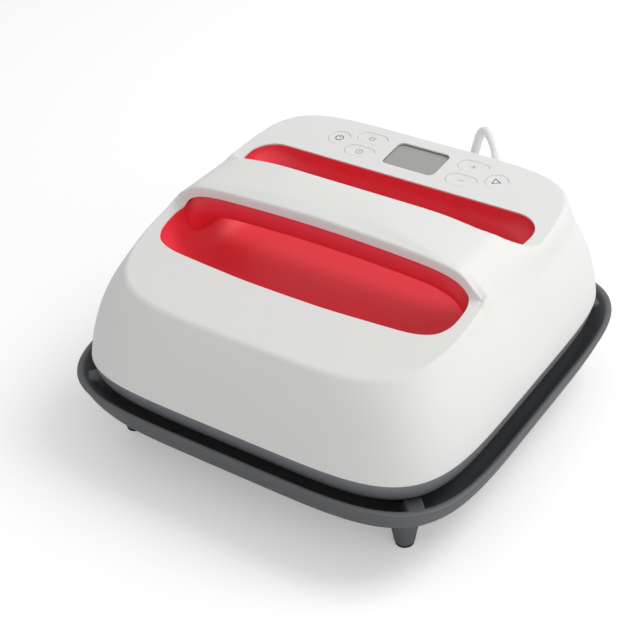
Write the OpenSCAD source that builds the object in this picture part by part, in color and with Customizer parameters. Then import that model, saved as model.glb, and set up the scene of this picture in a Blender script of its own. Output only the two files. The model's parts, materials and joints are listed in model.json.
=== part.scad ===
// Handheld heat press standing in its insulated safety base, with its mains cord coiled behind it.
// Origin: on the table, under the middle of the base. +Z up, the control panel at +Y, the grip along X.

/* [Heat press] */
// Width and depth of the square heat plate
plate_w = 228.6; // [226:0.2:230]
// Width of the white shell at its lower edge
shell_w = 265; // [263:0.5:268]
// Depth of the white shell at its lower edge
shell_d = 266; // [264:0.5:268]
// Wall thickness of the white shell
shell_t = 2.8; // [2.4:0.1:3]
// Height of the shell's lower edge above the table
shell_z = 61.7; // [61.5:0.1:62.5]
// Height of the top of the grip above the table
grip_top = 153; // [151:0.5:154]
// Height of the underside of the heat plate above the table
plate_z = 38; // [37:0.5:39]
// Corner radius of the heat plate
plate_r = 20; // [19:0.5:21]

/* [Grip openings] */
// Half of the length of both openings beside the grip
open_x = 105.5; // [102:0.5:106]
// Front edge of the front opening
front_y = 69; // [67:0.5:71]
// Rear edge of the rear opening
rear_y = 61; // [58:0.5:62]
// Radius of the front corners of the front opening
open_r = 19; // [16:0.5:20]
// Radius of the corners of the front opening beside the grip
near_r = 12; // [10:0.5:14]
// Corner radius of the rear opening
rear_r = 22; // [18:0.5:23]

/* [Control panel] */
// Diameter of the power and start buttons
round_d = 15; // [13:0.5:16]
// Length of the four oval buttons
oval_w = 21.6; // [19:0.2:22]
// Height of the four oval buttons
oval_h = 12.1; // [10:0.1:12.4]
// Width of the display opening
lcd_w = 39; // [34:0.5:40]
// Height of the display opening
lcd_h = 26.4; // [22:0.2:27]

/* [Safety base] */
// Width of the tray over its lip
base_w = 285.6; // [284:0.2:288]
// Depth of the tray over its lip
base_d = 282.4; // [281:0.2:285]
// Height of the lip above the table
rim_z = 49.7; // [49:0.1:50.5]
// Distance of each foot from the middle, across and along
foot_at = 102; // [98:0.5:104]
// Radius of a foot where it meets its pad
foot_r = 6.2; // [5.8:0.1:7]

/* [Mains cord] */
// Diameter of the cord
cord_d = 6.5; // [6:0.1:6.8]
// Radius of the coil's outer turn, at the middle of the cord
coil_r = 47.5; // [46:0.5:48]
// How many turns lie side by side in each of the coil's two layers
coil_rows = 4; // [3:1:4]

/* [Hidden] */
$fn = 48;

white = [0.93, 0.93, 0.92];
red = [0.78, 0.13, 0.19];
slate = [0.36, 0.38, 0.40];
charcoal = [0.33, 0.34, 0.35];
metal = [0.72, 0.73, 0.74];
steel = [0.60, 0.61, 0.62];
brass = [0.80, 0.65, 0.35];
green = [0.10, 0.36, 0.22];
black = [0.07, 0.07, 0.07];

ring_pts = 48;          // points round each horizontal section of a lofted form
gap = 0.1;              // room between two pieces that touch in the real object
base_z = 26;            // underside of the tray
floor_t = 3;            // thickness of the tray's floor and wall
skirt_z = 46;           // underside of the skirt
web_z = 57.5;           // underside of the skirt's inner web
web_top = 61.5;         // top of the skirt
board_z = 70;           // underside of the power board
grip_seam = 141;        // where the white grip meets its red underside
grip_front = -29;       // front face of the grip
grip_back = 13;         // rear face of the grip
grip_mid = (grip_front + grip_back) / 2;
panel_y = 85;           // middle of the control panel
panel_z = 135.7;        // height of the panel there
panel_slope = 0.09;     // the panel rises towards the rear
lip_z = 116.6;          // height of the front lip where y is -90
lip_slope = 0.2;        // the front lip rises towards the grip
liner_t = 2.2;          // wall thickness of the red liner
ctl_z = -12;            // top of the control board below the panel's surface

// Positions on the panel, from its middle
power_at = [-59.3, -0.7];
start_at = [59.3, -0.7];
temperature_at = [-38.3, 7.5];
plus_at = [38.3, 7.5];
timer_at = [-38.3, -9.2];
minus_at = [38.3, -9.2];
lcd_at = [0, -0.5];

// Where the heat plate is hung and where the shell is screwed to the skirt
plate_bolts = [[-104, -104], [0, -104], [104, -104], [-104, 104], [0, 104], [104, 104]];
shell_bolts = [for (s = [-1, 1]) each [[s * 123.5, -70], [s * 123.5, 70], [s * 70, -123.5], [s * 70, 123.5]]];
grip_bolts = [-78, -26, 26, 78];
ctl_bolts = [for (x = [-70, 70], y = [-12, 12]) [x, y]];
board_bolts = [for (x = [-80, 10], y = [-50, 10]) [x, y]];

// ---- rings, lofts and swept tubes ----

function pw(v, e) = sign(v) * pow(abs(v), e);

// One horizontal section: a rounded square from y0 to y1 and from -hx to hx, squarer as n grows
function ring(hx, y0, y1, n, z) = [
    for (i = [0 : ring_pts - 1])
        let (t = 360 * (i + 0.5) / ring_pts)
        [hx * pw(cos(t), 2 / n), (y0 + y1) / 2 + (y1 - y0) / 2 * pw(sin(t), 2 / n), z]
];

// Closed solid through a stack of rings, lowest first
module loft(rings) {
    m = len(rings[0]);
    top = len(rings) - 1;
    polyhedron(
        points = [for (r = rings) each r],
        faces = concat(
            [[for (i = [0 : m - 1]) i]],
            [[for (i = [m - 1 : -1 : 0]) top * m + i]],
            [for (k = [0 : top - 1], i = [0 : m - 1])
                let (j = (i + 1) % m)
                [k * m + i, (k + 1) * m + i, (k + 1) * m + j, k * m + j]]
        )
    );
}

function unit(v) = v / norm(v);
function along(p, i) = unit(p[min(i + 1, len(p) - 1)] - p[max(i - 1, 0)]);
function square_to(v, t) = unit(v - t * (v * t));

// Round tube of radius r along the points p, its first section kept square to the way out
module tube(p, r, sides = 10, side_dir = [1, 1, 0.1]) {
    sections = [
        for (i = 0, u = square_to(side_dir, along(p, 0));
             i < len(p);
             i = i + 1, u = i < len(p) ? square_to(u, along(p, i)) : u)
        let (t = along(p, i), w = cross(t, u))
        [for (a = [0 : sides - 1])
            p[i] + r * (u * cos(360 * (a + 0.5) / sides) + w * sin(360 * (a + 0.5) / sides))]
    ];
    loft_tube(sections);
}

module loft_tube(sections) {
    m = len(sections[0]);
    last = len(sections) - 1;
    polyhedron(
        points = [for (s = sections) each s],
        faces = concat(
            [[for (i = [0 : m - 1]) i]],
            [[for (i = [m - 1 : -1 : 0]) last * m + i]],
            [for (k = [0 : last - 1], i = [0 : m - 1])
                let (j = (i + 1) % m)
                [k * m + i, (k + 1) * m + i, (k + 1) * m + j, k * m + j]]
        )
    );
}

// Flat outline with round corners, as exact arcs
module rounded(w, d, r) {
    square([w - 2 * r, d], center = true);
    square([w, d - 2 * r], center = true);
    for (x = [-1, 1], y = [-1, 1])
        translate([x * (w / 2 - r), y * (d / 2 - r)]) circle(r);
}

module plate(w, d, r, z0, z1) {
    translate([0, 0, z0]) linear_extrude(z1 - z0) rounded(w, d, r);
}

module post(at, r, z0, z1) {
    translate([at[0], at[1], z0]) cylinder(r = r, h = z1 - z0);
}

module box(x0, x1, y0, y1, z0, z1) {
    translate([x0, y0, z0]) cube([x1 - x0, y1 - y0, z1 - z0]);
}

// Puts its children on the control panel: x across, y up the slope, z out of the surface
module on_panel() {
    translate([0, panel_y, panel_z]) rotate([atan(panel_slope), 0, 0]) children();
}

// ---- the form of the white shell ----

function lip_at(y) = lip_z + lip_slope * (y + 90);
function panel_at(y) = panel_z + panel_slope * (y - panel_y);

// Height above the lower edge, how far the sides, the front and the rear have come in there,
// and how square the front and the rear corners are
wall_rows = [
    [0, 0, 0, 0, 5.2, 5.2], [14, 1, 4.3, 3, 5.2, 5.2], [28, 3.5, 9.9, 6.8, 5.1, 5.2],
    [40, 7.2, 16, 11, 4.9, 5.2], [50, 11.6, 21.9, 14.8, 4.5, 5.2], [60, 16.7, 28.5, 18.6, 4.2, 5.2],
    [70, 20.2, 36, 22.5, 4, 5.2], [78, 21.9, 43, 25.8, 4, 5.2], [86, 24, 51, 29.5, 4, 5.2],
    [96, 27.5, 63, 35, 4, 5.2]
];
function wall_ring(w, inset, z) =
    let (hx = shell_w / 2 - w[1] - inset, y0 = -shell_d / 2 + w[2] + inset, y1 = shell_d / 2 - w[3] - inset)
    [for (i = [0 : ring_pts - 1])
        let (t = 360 * (i + 0.5) / ring_pts, n = sin(t) < 0 ? w[4] : w[5])
        [hx * pw(cos(t), 2 / n), (y0 + y1) / 2 + (y1 - y0) / 2 * pw(sin(t), 2 / n), z]];

// The walls alone, taken in by inset and let down by below
module walls(inset, below = 0) {
    loft([for (w = wall_rows) wall_ring(w, inset, shell_z + (w[0] == 0 ? -below : w[0]))]);
}

// Front lip, grip and control panel from the side, lowered by drop
grip_line = [
    [-46, lip_at(-46)], [-40, 126.8], [-35, 128], [-31.8, 129.8], [-29.8, 133], [grip_front, 137.5],
    [-28.8, 143.5], [-28.4, 147.2],
    [-26.2, 149.9], [-21.5, 151.4], [-14, 152.4], [-4, grip_top], [4, grip_top - 0.1], [9, 152.2],
    [11.8, 150.9], [grip_back, 148.6], [13.4, 142], [15, 136], [19, 131.8], [24, panel_at(24)]
];
module side_view(drop) {
    shrink = 1 - drop / (grip_back - grip_mid);
    polygon(concat(
        [[-160, 40], [-160, lip_at(-160) - drop]],
        [for (p = grip_line) [grip_mid + (p[0] - grip_mid) * shrink, p[1] - drop]],
        [[160, panel_at(160) - drop], [160, 40]]
    ));
}

// The crown from the front: nearly flat over the grip, falling away at its ends
crown_line = [[0, grip_top], [25, 152.7], [50, 151], [70, 149.3], [87, 147], [95, 144.8], [100, 141.8],
              [104, 138.3], [108, 134.9], [111.5, 131.8], [114.5, 128.5], [118, 123], [122, 114],
              [130, 90], [140, 60], [140, 40]];
module front_view(drop) {
    m = len(crown_line) - 1;
    polygon(concat(
        [for (i = [m : -1 : 1]) [-crown_line[i][0], crown_line[i][1] - drop]],
        [for (p = crown_line) [p[0], p[1] - drop]]
    ));
}

module crown_form(drop) {
    rotate([90, 0, 0]) linear_extrude(330, center = true) front_view(drop);
}

module top_form(drop) {
    intersection() {
        rotate([90, 0, 90]) linear_extrude(300, center = true) side_view(drop);
        crown_form(drop);
    }
}

// The whole solid form of the shell, taken in by inset
module shell_form(inset, below = 0) {
    intersection() {
        walls(inset, below);
        top_form(inset);
    }
}

// Opening from y0, with corners of radius r0, to y1, with corners of radius r1
module opening(y0, r0, y1, r1) {
    translate([0, 0, 100]) linear_extrude(70) hull() for (x = [-1, 1]) {
        translate([x * (open_x - r0), y0 + r0]) circle(r0);
        translate([x * (open_x - r1), y1 - r1]) circle(r1);
    }
}

module top_shell() {
    color(white) difference() {
        union() {
            difference() {
                shell_form(0);
                shell_form(shell_t, 1);
            }
            intersection() {
                union() {
                    for (p = shell_bolts) post(p, 5, shell_z + 0.3, shell_z + 16);
                    for (x = grip_bolts) post([x, grip_mid], 4, 127, grip_top - 1);
                    on_panel() for (p = ctl_bolts) post(p, 3, ctl_z + gap, -1);
                    cord_axis() translate([0, 0, -7]) cylinder(r = 8.4, h = 9.6);
                }
                union() {
                    shell_form(1.2);
                    cord_axis() translate([0, 0, -7]) cylinder(r = 8.4, h = 9.6);
                }
            }
        }
        opening(-front_y, open_r, grip_front, near_r);
        opening(grip_back, rear_r, rear_y, rear_r);
        box(-open_x, open_x, grip_front - 1, grip_back + 1, 100, 126.9);
        intersection() {
            crown_form(shell_t);
            for (s = [0 : len(grip_bolts)]) grip_bay(s);
        }
        for (p = shell_bolts) post(p, 1.55, shell_z - 1, shell_z + 13);
        for (x = grip_bolts) post([x, grip_mid], 1.3, 126, 142);
        on_panel() {
            for (p = ctl_bolts) post(p, 1.05, ctl_z, -3.5);
            for (p = [power_at, start_at]) post(p, round_d / 2 + 0.4, -6, 2);
            for (p = [temperature_at, plus_at, timer_at, minus_at]) oval(p, 0.4, -6, 2);
            translate([lcd_at[0], lcd_at[1], -6]) linear_extrude(8) rounded(lcd_w, lcd_h, 3);
        }
        cord_axis() translate([0, 0, -12]) cylinder(r = 5.6, h = 20);
        cord_axis() translate([0, 0, -14]) cylinder(r = 8.4, h = 7);
        cord_axis() translate([0, 0, 2.65]) cylinder(r = 6.8, h = 10);
    }
}

// Empty space under the white grip, between its screw posts
module grip_bay(s) {
    x0 = s == 0 ? -open_x : grip_bolts[s - 1] + 4.1;
    x1 = s == len(grip_bolts) ? open_x : grip_bolts[s] - 4.1;
    box(x0, x1, grip_front - 1, grip_back + 1, 126, grip_seam);
    if (s < len(grip_bolts)) {
        box(x1 - 0.1, x1 + 8.3, grip_front - 1, grip_mid - 4.1, 126, grip_seam);
        box(x1 - 0.1, x1 + 8.3, grip_mid + 4.1, grip_back + 1, 126, grip_seam);
    }
}

// ---- the red hand opening under the grip ----

// Height, half length, front edge, rear edge and squareness of the opening's inside
hand_room = [
    [95, 80, -42, 32, 3], [97, 88, -49, 40, 3.4], [102, 95, -56.5, 48, 4], [110, 100.5, -63, 54, 5],
    [120, 103.8, -67.5, 58.5, 6.5], [130, 105.4, -69.4, 61.2, 8], [155, 105.9, -69.6, 61.6, 8]
];
module hand_form(grow, below = 0) {
    loft([for (r = hand_room)
        ring(r[1] + grow, r[2] - grow, r[3] + grow, r[4], r[0] - (r[0] == hand_room[0][0] ? below : 0))]);
}

module grip_liner() {
    color(red) intersection() {
        difference() {
            hand_form(liner_t, liner_t);
            hand_form(0);
        }
        shell_form(shell_t + gap);
    }
}

// The red lower half of the grip: a trough, its rounded belly down
belly = [
    [-28.8, 140.9], [-28.6, 135], [-27.2, 129.5], [-23.8, 124.8], [-18.5, 121.6], [-11, 120.2],
    [-3, 120.4], [4, 122.2], [9, 126], [11.8, 131], [12.8, 137], [12.8, 140.9]
];
belly_depth = 20.8;

// Distance from the middle and how many times deeper the belly is there than under the fingers
flare = [[78, 1], [86, 1.08], [92, 1.28], [96, 1.5], [100, 1.78], [106, 2.1]];
spread = 0.25;          // how much of that goes into its width

// The belly's outside, or its inside when thin is less than 1, with its open side at height top
module belly_form(thin, top) {
    ends = concat([for (i = [len(flare) - 1 : -1 : 0]) [-flare[i][0], flare[i][1]]], flare);
    loft([for (e = ends) [for (p = belly)
        let (drop = (grip_seam - p[1]) / belly_depth, wide = 1 + (e[1] - 1) * spread * drop)
        [e[0], grip_mid + (p[0] - grip_mid) * thin * wide,
         p[1] > 140 ? top : grip_seam - drop * belly_depth * thin * e[1]]]]);
}

module grip_underside() {
    color(red) difference() {
        intersection() {
            hand_form(-0.2);
            crown_form(shell_t + gap);
            union() {
                difference() {
                    belly_form(1, grip_seam - gap);
                    belly_form(1 - liner_t / belly_depth, grip_seam + 9);
                }
                for (x = grip_bolts) post([x, grip_mid], 5, 121, 126.9);
            }
        }
        for (x = grip_bolts) {
            post([x, grip_mid], 1.6, 119, 128);
            post([x, grip_mid], 3.1, 119, 123.6);
        }
    }
}

module grip_screws() {
    color(steel) for (x = grip_bolts) {
        post([x, grip_mid], 2.9, 121.6, 123.55);
        post([x, grip_mid], 1.25, 123.55, 138);
    }
}

// ---- the slate skirt that carries the heat plate ----

module skirt_form(inset, z0, z1) {
    w = shell_w / 2 - 1.3 - inset;
    d = shell_d / 2 - 1.3 - inset;
    loft([
        ring(w - 5, -d + 5, d - 5, 5.3, z0),
        ring(w - 3, -d + 3, d - 3, 5.35, skirt_z + 2),
        ring(w - 1.4, -d + 1.4, d - 1.4, 5.4, skirt_z + 5.5),
        ring(w - 0.4, -d + 0.4, d - 0.4, 5.45, skirt_z + 10),
        ring(w, -d, d, 5.45, z1)
    ]);
}

module skirt_frame() {
    color(slate) difference() {
        union() {
            difference() {
                skirt_form(0, skirt_z, web_top);
                difference() {
                    translate([0, 0, 3]) skirt_form(2.6, skirt_z, web_top + 2);
                    plate(plate_w + 8, plate_w + 8, plate_r + 4, skirt_z - 1, web_top + 5);
                }
            }
            for (p = shell_bolts) post(p, 4.6, skirt_z + 2, web_top);
            difference() {
                spigot(0.3, web_top - 1, web_top + 4.5);
                spigot(2.6, web_top - 2, web_top + 5);
                for (p = shell_bolts) post(p, 5.5, web_top, web_top + 5);
            }
        }
        plate(plate_w + 4, plate_w + 4, plate_r + 2, skirt_z - 1, web_z);
        plate(184, 184, 8, skirt_z, web_top + 1);
        for (p = plate_bolts) post(p, 2.15, web_z - 1, web_top + 1);
        for (p = shell_bolts) {
            post(p, 1.7, skirt_z - 2, web_top + 1);
            post(p, 3.4, skirt_z - 2, skirt_z + 9);
        }
    }
}

// Locating rim of the skirt inside the white shell
module spigot(inset, z0, z1) {
    w = shell_w / 2 - 0.4 - shell_t - inset;
    d = shell_d / 2 - 1.5 - shell_t - inset;
    loft([ring(w, -d, d, 5.2, z0), ring(w, -d, d, 5.2, z1)]);
}

module shell_screws() {
    color(steel) for (p = shell_bolts) {
        post(p, 3.1, skirt_z + 6.9, skirt_z + 8.95);
        post(p, 1.5, skirt_z + 8.95, shell_z + 12);
    }
}

// ---- heat plate and what heats and watches it ----

module heat_plate() {
    color(charcoal) difference() {
        union() {
            plate(plate_w - 3, plate_w - 3, plate_r - 1.5, plate_z, plate_z + 1.5);
            plate(plate_w, plate_w, plate_r, plate_z + 1.5, plate_z + 8);
            for (p = plate_bolts) post(p, 5, plate_z + 8, plate_z + 13.5);
        }
        for (p = plate_bolts) post(p, 1.95, plate_z + 3, plate_z + 14);
    }
}

module plate_spacers() {
    color([0.9, 0.88, 0.82]) for (p = plate_bolts) difference() {
        post(p, 4.6, plate_z + 13.55, web_z - 0.05);
        post(p, 2.1, plate_z + 13, web_z + 1);
    }
}

module plate_screws() {
    color(steel) for (p = plate_bolts) {
        post(p, 3.6, web_top + 0.05, web_top + 2.4);
        post(p, 1.9, plate_z + 4, web_top + 0.05);
    }
}

element_r = 3.4;
element_z = plate_z + 8 + element_r + 0.05;
element_x = 78;
element_pitch = 50;

module heating_element() {
    color(steel) {
        for (k = [-1.5, -0.5, 0.5, 1.5])
            translate([0, k * element_pitch, element_z])
                rotate([0, 90, 0]) cylinder(r = element_r, h = 2 * element_x, center = true);
        for (k = [-1, 0, 1])
            translate([(k == 0 ? 1 : -1) * element_x, k * element_pitch, element_z])
                rotate([0, 0, k == 0 ? -90 : 90]) rotate_extrude(angle = 180)
                    translate([element_pitch / 2, 0]) circle(element_r);
        for (s = [-1, 1])
            translate([element_x, s * 1.5 * element_pitch, 0]) {
                translate([0, 0, element_z]) sphere(element_r);
                translate([0, 0, element_z]) cylinder(r = element_r, h = 13);
                translate([0, 0, element_z]) cylinder(r = 1.6, h = 20);
            }
    }
}

module element_clips() {
    color(metal) for (x = [-50, 50], k = [-1.5, -0.5, 0.5, 1.5])
        translate([x, k * element_pitch, plate_z + 8.03]) rotate([90, 0, 90])
            linear_extrude(8, center = true) difference() {
                union() {
                    translate([0, element_r]) circle(element_r + 1);
                    translate([-9, 0]) square([18, 1]);
                }
                translate([0, element_r]) circle(element_r + 0.06);
                translate([-element_r - 0.06, -2]) square([2 * element_r + 0.12, element_r + 2]);
                translate([-12, -10]) square([24, 10]);
            }
}

module plate_insulation() {
    color([0.92, 0.91, 0.86]) difference() {
        plate(182, 182, 7, 55.2, web_top - 0.1);
        for (s = [-1, 1]) post([element_x, s * 1.5 * element_pitch], 5, 50, 63);
        post([-30, 0], 4, 50, 63);
        post([30, 0], 10, 50, 63);
    }
}

module heat_shield() {
    color(metal) difference() {
        plate(194, 194, 9, web_top + 0.05, web_top + 0.85);
        for (s = [-1, 1]) post([element_x, s * 1.5 * element_pitch], 5, 60, 64);
        post([-30, 0], 4, 60, 64);
        post([30, 0], 10, 60, 64);
        for (p = board_bolts) post(p, 1.6, 60, 64);
    }
}

module thermistor() {
    color(brass) {
        post([-30, 0], 3, plate_z + 8.05, plate_z + 11);
        post([-30.9, 0], 0.6, plate_z + 10, web_top + 6);
        post([-29.1, 0], 0.6, plate_z + 10, web_top + 6);
    }
}

module thermal_cutoff() {
    color([0.75, 0.72, 0.6]) {
        post([30, 0], 8.5, plate_z + 8.05, plate_z + 11);
        post([30, 0], 7.4, plate_z + 11, plate_z + 19);
        for (s = [-1, 1]) box(30 + s * 4 - 0.4, 30 + s * 4 + 0.4, -3, 3, plate_z + 18, web_top + 6);
    }
}

// ---- power electronics above the shield ----

module board_standoffs() {
    color(brass) for (p = board_bolts) difference() {
        post(p, 3, web_top + 0.9, board_z - 0.05);
        post(p, 1.3, board_z - 5, board_z + 1);
    }
}

module power_board() {
    color(green) difference() {
        box(-86, 16, -56, 16, board_z, board_z + 1.6);
        for (p = board_bolts) post(p, 1.6, board_z - 1, board_z + 3);
    }
}

module power_board_screws() {
    color(steel) for (p = board_bolts) {
        post(p, 2.6, board_z + 1.65, board_z + 3.4);
        post(p, 1.25, board_z - 4, board_z + 1.65);
    }
}

module transformer() {
    color([0.85, 0.75, 0.3]) {
        box(-62, -40, -38, -16, board_z + 1.65, board_z + 6);
        box(-60, -42, -34, -20, board_z + 6, board_z + 17);
    }
}

module power_relay() {
    color([0.12, 0.2, 0.5]) box(-22, -3, -40, -24, board_z + 1.65, board_z + 16);
}

module capacitors() {
    color(black) {
        post([-66, -2], 5, board_z + 1.65, board_z + 15);
        post([-52, -2], 4, board_z + 1.65, board_z + 13);
    }
    color([0.85, 0.7, 0.2]) box(-34, -16, -8, 0, board_z + 1.65, board_z + 14);
}

module mains_fuse() {
    color(metal) translate([-8, 0, board_z + 5.2]) rotate([90, 0, 0]) {
        cylinder(r = 2.6, h = 14, center = true);
        for (s = [-1, 1]) translate([0, 0, s * 6]) cylinder(r = 3.2, h = 4, center = true);
    }
}

module terminal_block() {
    color([0.9, 0.9, 0.86]) difference() {
        box(52, 84, 34, 50, web_top + 0.9, web_top + 15);
        for (k = [0 : 2]) {
            post([58 + 10 * k, 42], 2.6, web_top + 8, web_top + 16);
            translate([58 + 10 * k, 33, web_top + 6]) rotate([-90, 0, 0]) cylinder(r = 2, h = 18);
        }
    }
}

lead_r = 1.5;
lead_z = web_top + 6;
module element_leads() {
    color([0.75, 0.1, 0.1]) {
        tube([[78, 33, lead_z], [78, 28, 68], [84, 26, 72], [92, 34, 76], [94, 50, 80], [92, 66, 82],
              [86, 74, 78], [79.5, 75, 73.2]], lead_r, 8);
        tube([[58, 33, lead_z], [58, 26, 68], [60, 10, 70], [64, -15, 72], [68, -40, 76], [72, -60, 80],
              [76, -72, 78], [78, -75, 73.2]], lead_r, 8);
    }
}

module mains_leads() {
    color([0.15, 0.15, 0.6]) tube([[68, 51, lead_z], [68, 56, 69], [66, 64, 76], [63.5, 69, 82]], lead_r, 8);
    color([0.2, 0.5, 0.2]) tube([[58, 51, lead_z], [58, 56, 69], [59, 63, 76], [60, 69, 82]], lead_r, 8);
    color(black) tube([[16.5, 0, 74], [24, 2, 76], [34, 14, 80], [42, 34, 82], [50, 52, 82], [56, 66, 84]],
                      lead_r, 8);
}

// ---- mains cord inside the housing ----

cord_tip = [33, 134, 126];
cord_way = unit([-15, 15, 14]);
cord_root = cord_tip - 28 * cord_way;

// Puts its children where the cord passes the rear wall, z along the cord
module cord_axis() {
    translate(cord_root)
        rotate([0, acos(cord_way[2]), atan2(cord_way[1], cord_way[0])]) children();
}

module strain_relief() {
    color(white) cord_axis() rotate_extrude() polygon([
        [0, -9.5], [8, -9.5], [8, -7.1], [5.5, -7.1], [5.5, 2.7], [6.6, 2.7], [6.6, 5], [5.6, 6],
        [5.6, 8], [6.1, 8.6], [5.4, 12], [4.9, 13], [5.3, 13.8], [4.7, 17], [4.3, 18], [4.7, 18.8], [4.1, 22],
        [3.8, 23], [4.1, 24], [3.7, 27], [3.6, 28], [0, 28]
    ]);
}

inner_route = [[55.5, 111.5, 105], [59, 108, 101], [62, 104, 97], [64, 99, 92.5], [64.5, 93, 89],
               [64, 87, 87], [63, 80, 86]];
module inner_cord() {
    color(white) tube(inner_route, cord_d / 2, 10);
}

module cord_clamp() {
    color(slate) difference() {
        union() {
            box(50, 78, 80.5, 89.5, web_top + 0.9, 85.9);
            box(52, 76, 80.5, 89.5, 85.9, 91.6);
        }
        tube([[66, 97, 89.5], [64, 87, 87], [62, 74, 85.2]], cord_d / 2 + 0.5, 16);
        box(56, 72, 80, 90, 60, 80);
    }
}

// ---- control board behind the panel ----

module control_board() {
    color(green) on_panel() difference() {
        translate([-76, -17, ctl_z - 1.6]) cube([152, 33, 1.6]);
        for (p = ctl_bolts) post(p, 1.3, ctl_z - 3, ctl_z + 1);
    }
}

module control_board_screws() {
    color(steel) on_panel() for (p = ctl_bolts) {
        post(p, 2.2, ctl_z - 3.2, ctl_z - 1.65);
        post(p, 1, ctl_z - 1.65, ctl_z + 5);
    }
}

module lcd_module() {
    color([0.62, 0.64, 0.62]) on_panel() translate([lcd_at[0], lcd_at[1], 0]) {
        translate([0, 0, -7.6]) linear_extrude(3.6) square([46, 31], center = true);
        translate([0, 0, ctl_z + 0.05]) linear_extrude(4.4) difference() {
            square([46, 31], center = true);
            square([42, 27], center = true);
        }
    }
}

module lcd_window() {
    color([0.55, 0.57, 0.55]) on_panel() translate([lcd_at[0], lcd_at[1], 0]) {
        translate([0, 0, -3.9]) linear_extrude(1) rounded(lcd_w + 3, lcd_h + 3, 3);
        translate([0, 0, -3]) linear_extrude(2.1) rounded(lcd_w - 0.3, lcd_h - 0.3, 2.9);
    }
}

module tact_switches() {
    color(black) on_panel()
        for (p = [power_at, temperature_at, timer_at, plus_at, minus_at, start_at])
            translate([p[0], p[1], ctl_z + 0.05]) difference() {
                translate([-3, -3, 0]) cube([6, 6, 4]);
                translate([0, 0, 1]) cylinder(r = 2.1, h = 4);
            }
}

module buzzer() {
    color(black) on_panel() difference() {
        translate([22.5, 9, ctl_z - 8.2]) cylinder(r = 6, h = 6.5);
        translate([22.5, 9, ctl_z - 9]) cylinder(r = 1, h = 3);
    }
}

module ribbon_cable() {
    color([0.75, 0.75, 0.72]) rotate([90, 0, 90]) translate([0, 0, -74]) linear_extrude(16)
        polygon([[16.05, 73], [24, 74], [50, 78], [72, 84], [82, 92], [86, 104], [86, 121.2], [87, 121.2],
                 [87, 104], [83, 91.4], [72.5, 83], [50.2, 77], [24, 73], [16.05, 72]]);
}

// ---- buttons ----

module oval(at, grow, z0, z1) {
    r = oval_h / 2 + grow;
    reach = (oval_w - oval_h) / 2;
    translate([at[0], at[1], z0]) linear_extrude(z1 - z0) {
        for (s = [-1, 1]) translate([s * reach, 0]) circle(r);
        square([2 * reach, 2 * r], center = true);
    }
}

module button_stem(at) {
    post(at, 3, -6, -4);
    post(at, 1.75, -8.6, -5.9);
}

module round_button(at) {
    color(white) on_panel() {
        post(at, round_d / 2, -3.2, -0.05);
        post(at, round_d / 2 + 1.1, -4.3, -3.15);
        button_stem(at);
    }
}

module oval_button(at) {
    color(white) on_panel() {
        oval(at, 0, -3.2, -0.05);
        oval(at, 0.9, -4.3, -3.15);
        button_stem(at);
    }
}

module power_button() { round_button(power_at); }
module start_button() { round_button(start_at); }
module temperature_button() { oval_button(temperature_at); }
module timer_button() { oval_button(timer_at); }
module plus_button() { oval_button(plus_at); }
module minus_button() { oval_button(minus_at); }

// ---- safety base ----

module tray_form(inset, z0, z1) {
    w = base_w / 2 - inset;
    d = base_d / 2 - inset;
    loft([
        ring(w - 20, -d + 20, d - 20, 4.7, z0),
        ring(w - 12.5, -d + 12.5, d - 12.5, 4.9, base_z + 3.5),
        ring(w - 7, -d + 7, d - 7, 5.05, base_z + 10),
        ring(w - 2.6, -d + 2.6, d - 2.6, 5.15, base_z + 18),
        ring(w, -d, d, 5.16, rim_z - 1.4),
        ring(w - 0.4, -d + 0.4, d - 0.4, 5.16, z1)
    ]);
}

module base_tray() {
    color(charcoal) difference() {
        union() {
            difference() {
                tray_form(0, base_z, rim_z);
                translate([0, 0, floor_t]) tray_form(3.4, base_z, rim_z);
            }
            for (x = [-1, 1], y = [-1, 1])
                translate([x * foot_at, y * foot_at, 0]) rotate_extrude() polygon([
                    [0, 1.8], [foot_r, 1.8], [foot_r + 0.6, 4], [foot_r + 1.6, 11], [foot_r + 2.8, 18],
                    [foot_r + 4.6, 23], [foot_r + 7.4, base_z + 0.5], [0, base_z + 0.5]
                ]);
        }
        for (x = [-1, 1], y = [-1, 1]) post([x * foot_at, y * foot_at], 2.5, 1, 10);
    }
}

module base_foot_pads() {
    color(black) for (x = [-1, 1], y = [-1, 1]) {
        post([x * foot_at, y * foot_at], foot_r - 0.5, 0, 1.75);
        post([x * foot_at, y * foot_at], 2.45, 1.7, 9);
    }
}

// Raised pads in the tray's corners that carry the skirt and centre it
module base_corner_guides() {
    color(charcoal) intersection() {
        translate([0, 0, floor_t]) tray_form(3.9, base_z + 0.1, rim_z + 1);
        for (x = [-1, 1], y = [-1, 1]) translate([x * 113, y * 112, 0]) difference() {
            cylinder(r = 24, h = 48);
            translate([0, 0, skirt_z - 0.4])
                translate([-x * 113, -y * 112, 0]) loft([
                    ring(shell_w / 2 - 5.5, -shell_d / 2 + 5.5, shell_d / 2 - 5.5, 5.4, 0),
                    ring(shell_w / 2 + 2, -shell_d / 2 - 2, shell_d / 2 + 2, 5.4, 6)
                ]);
            translate([-x * 113, -y * 112, 0])
                plate(plate_w + 2.4, plate_w + 2.4, plate_r + 1.2, plate_z - 2, 60);
        }
    }
}

module base_heat_mat() {
    color([0.13, 0.13, 0.14]) plate(176, 176, 12, base_z + floor_t + 0.1, base_z + floor_t + 2.6);
}

// ---- mains cord outside the housing ----

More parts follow.
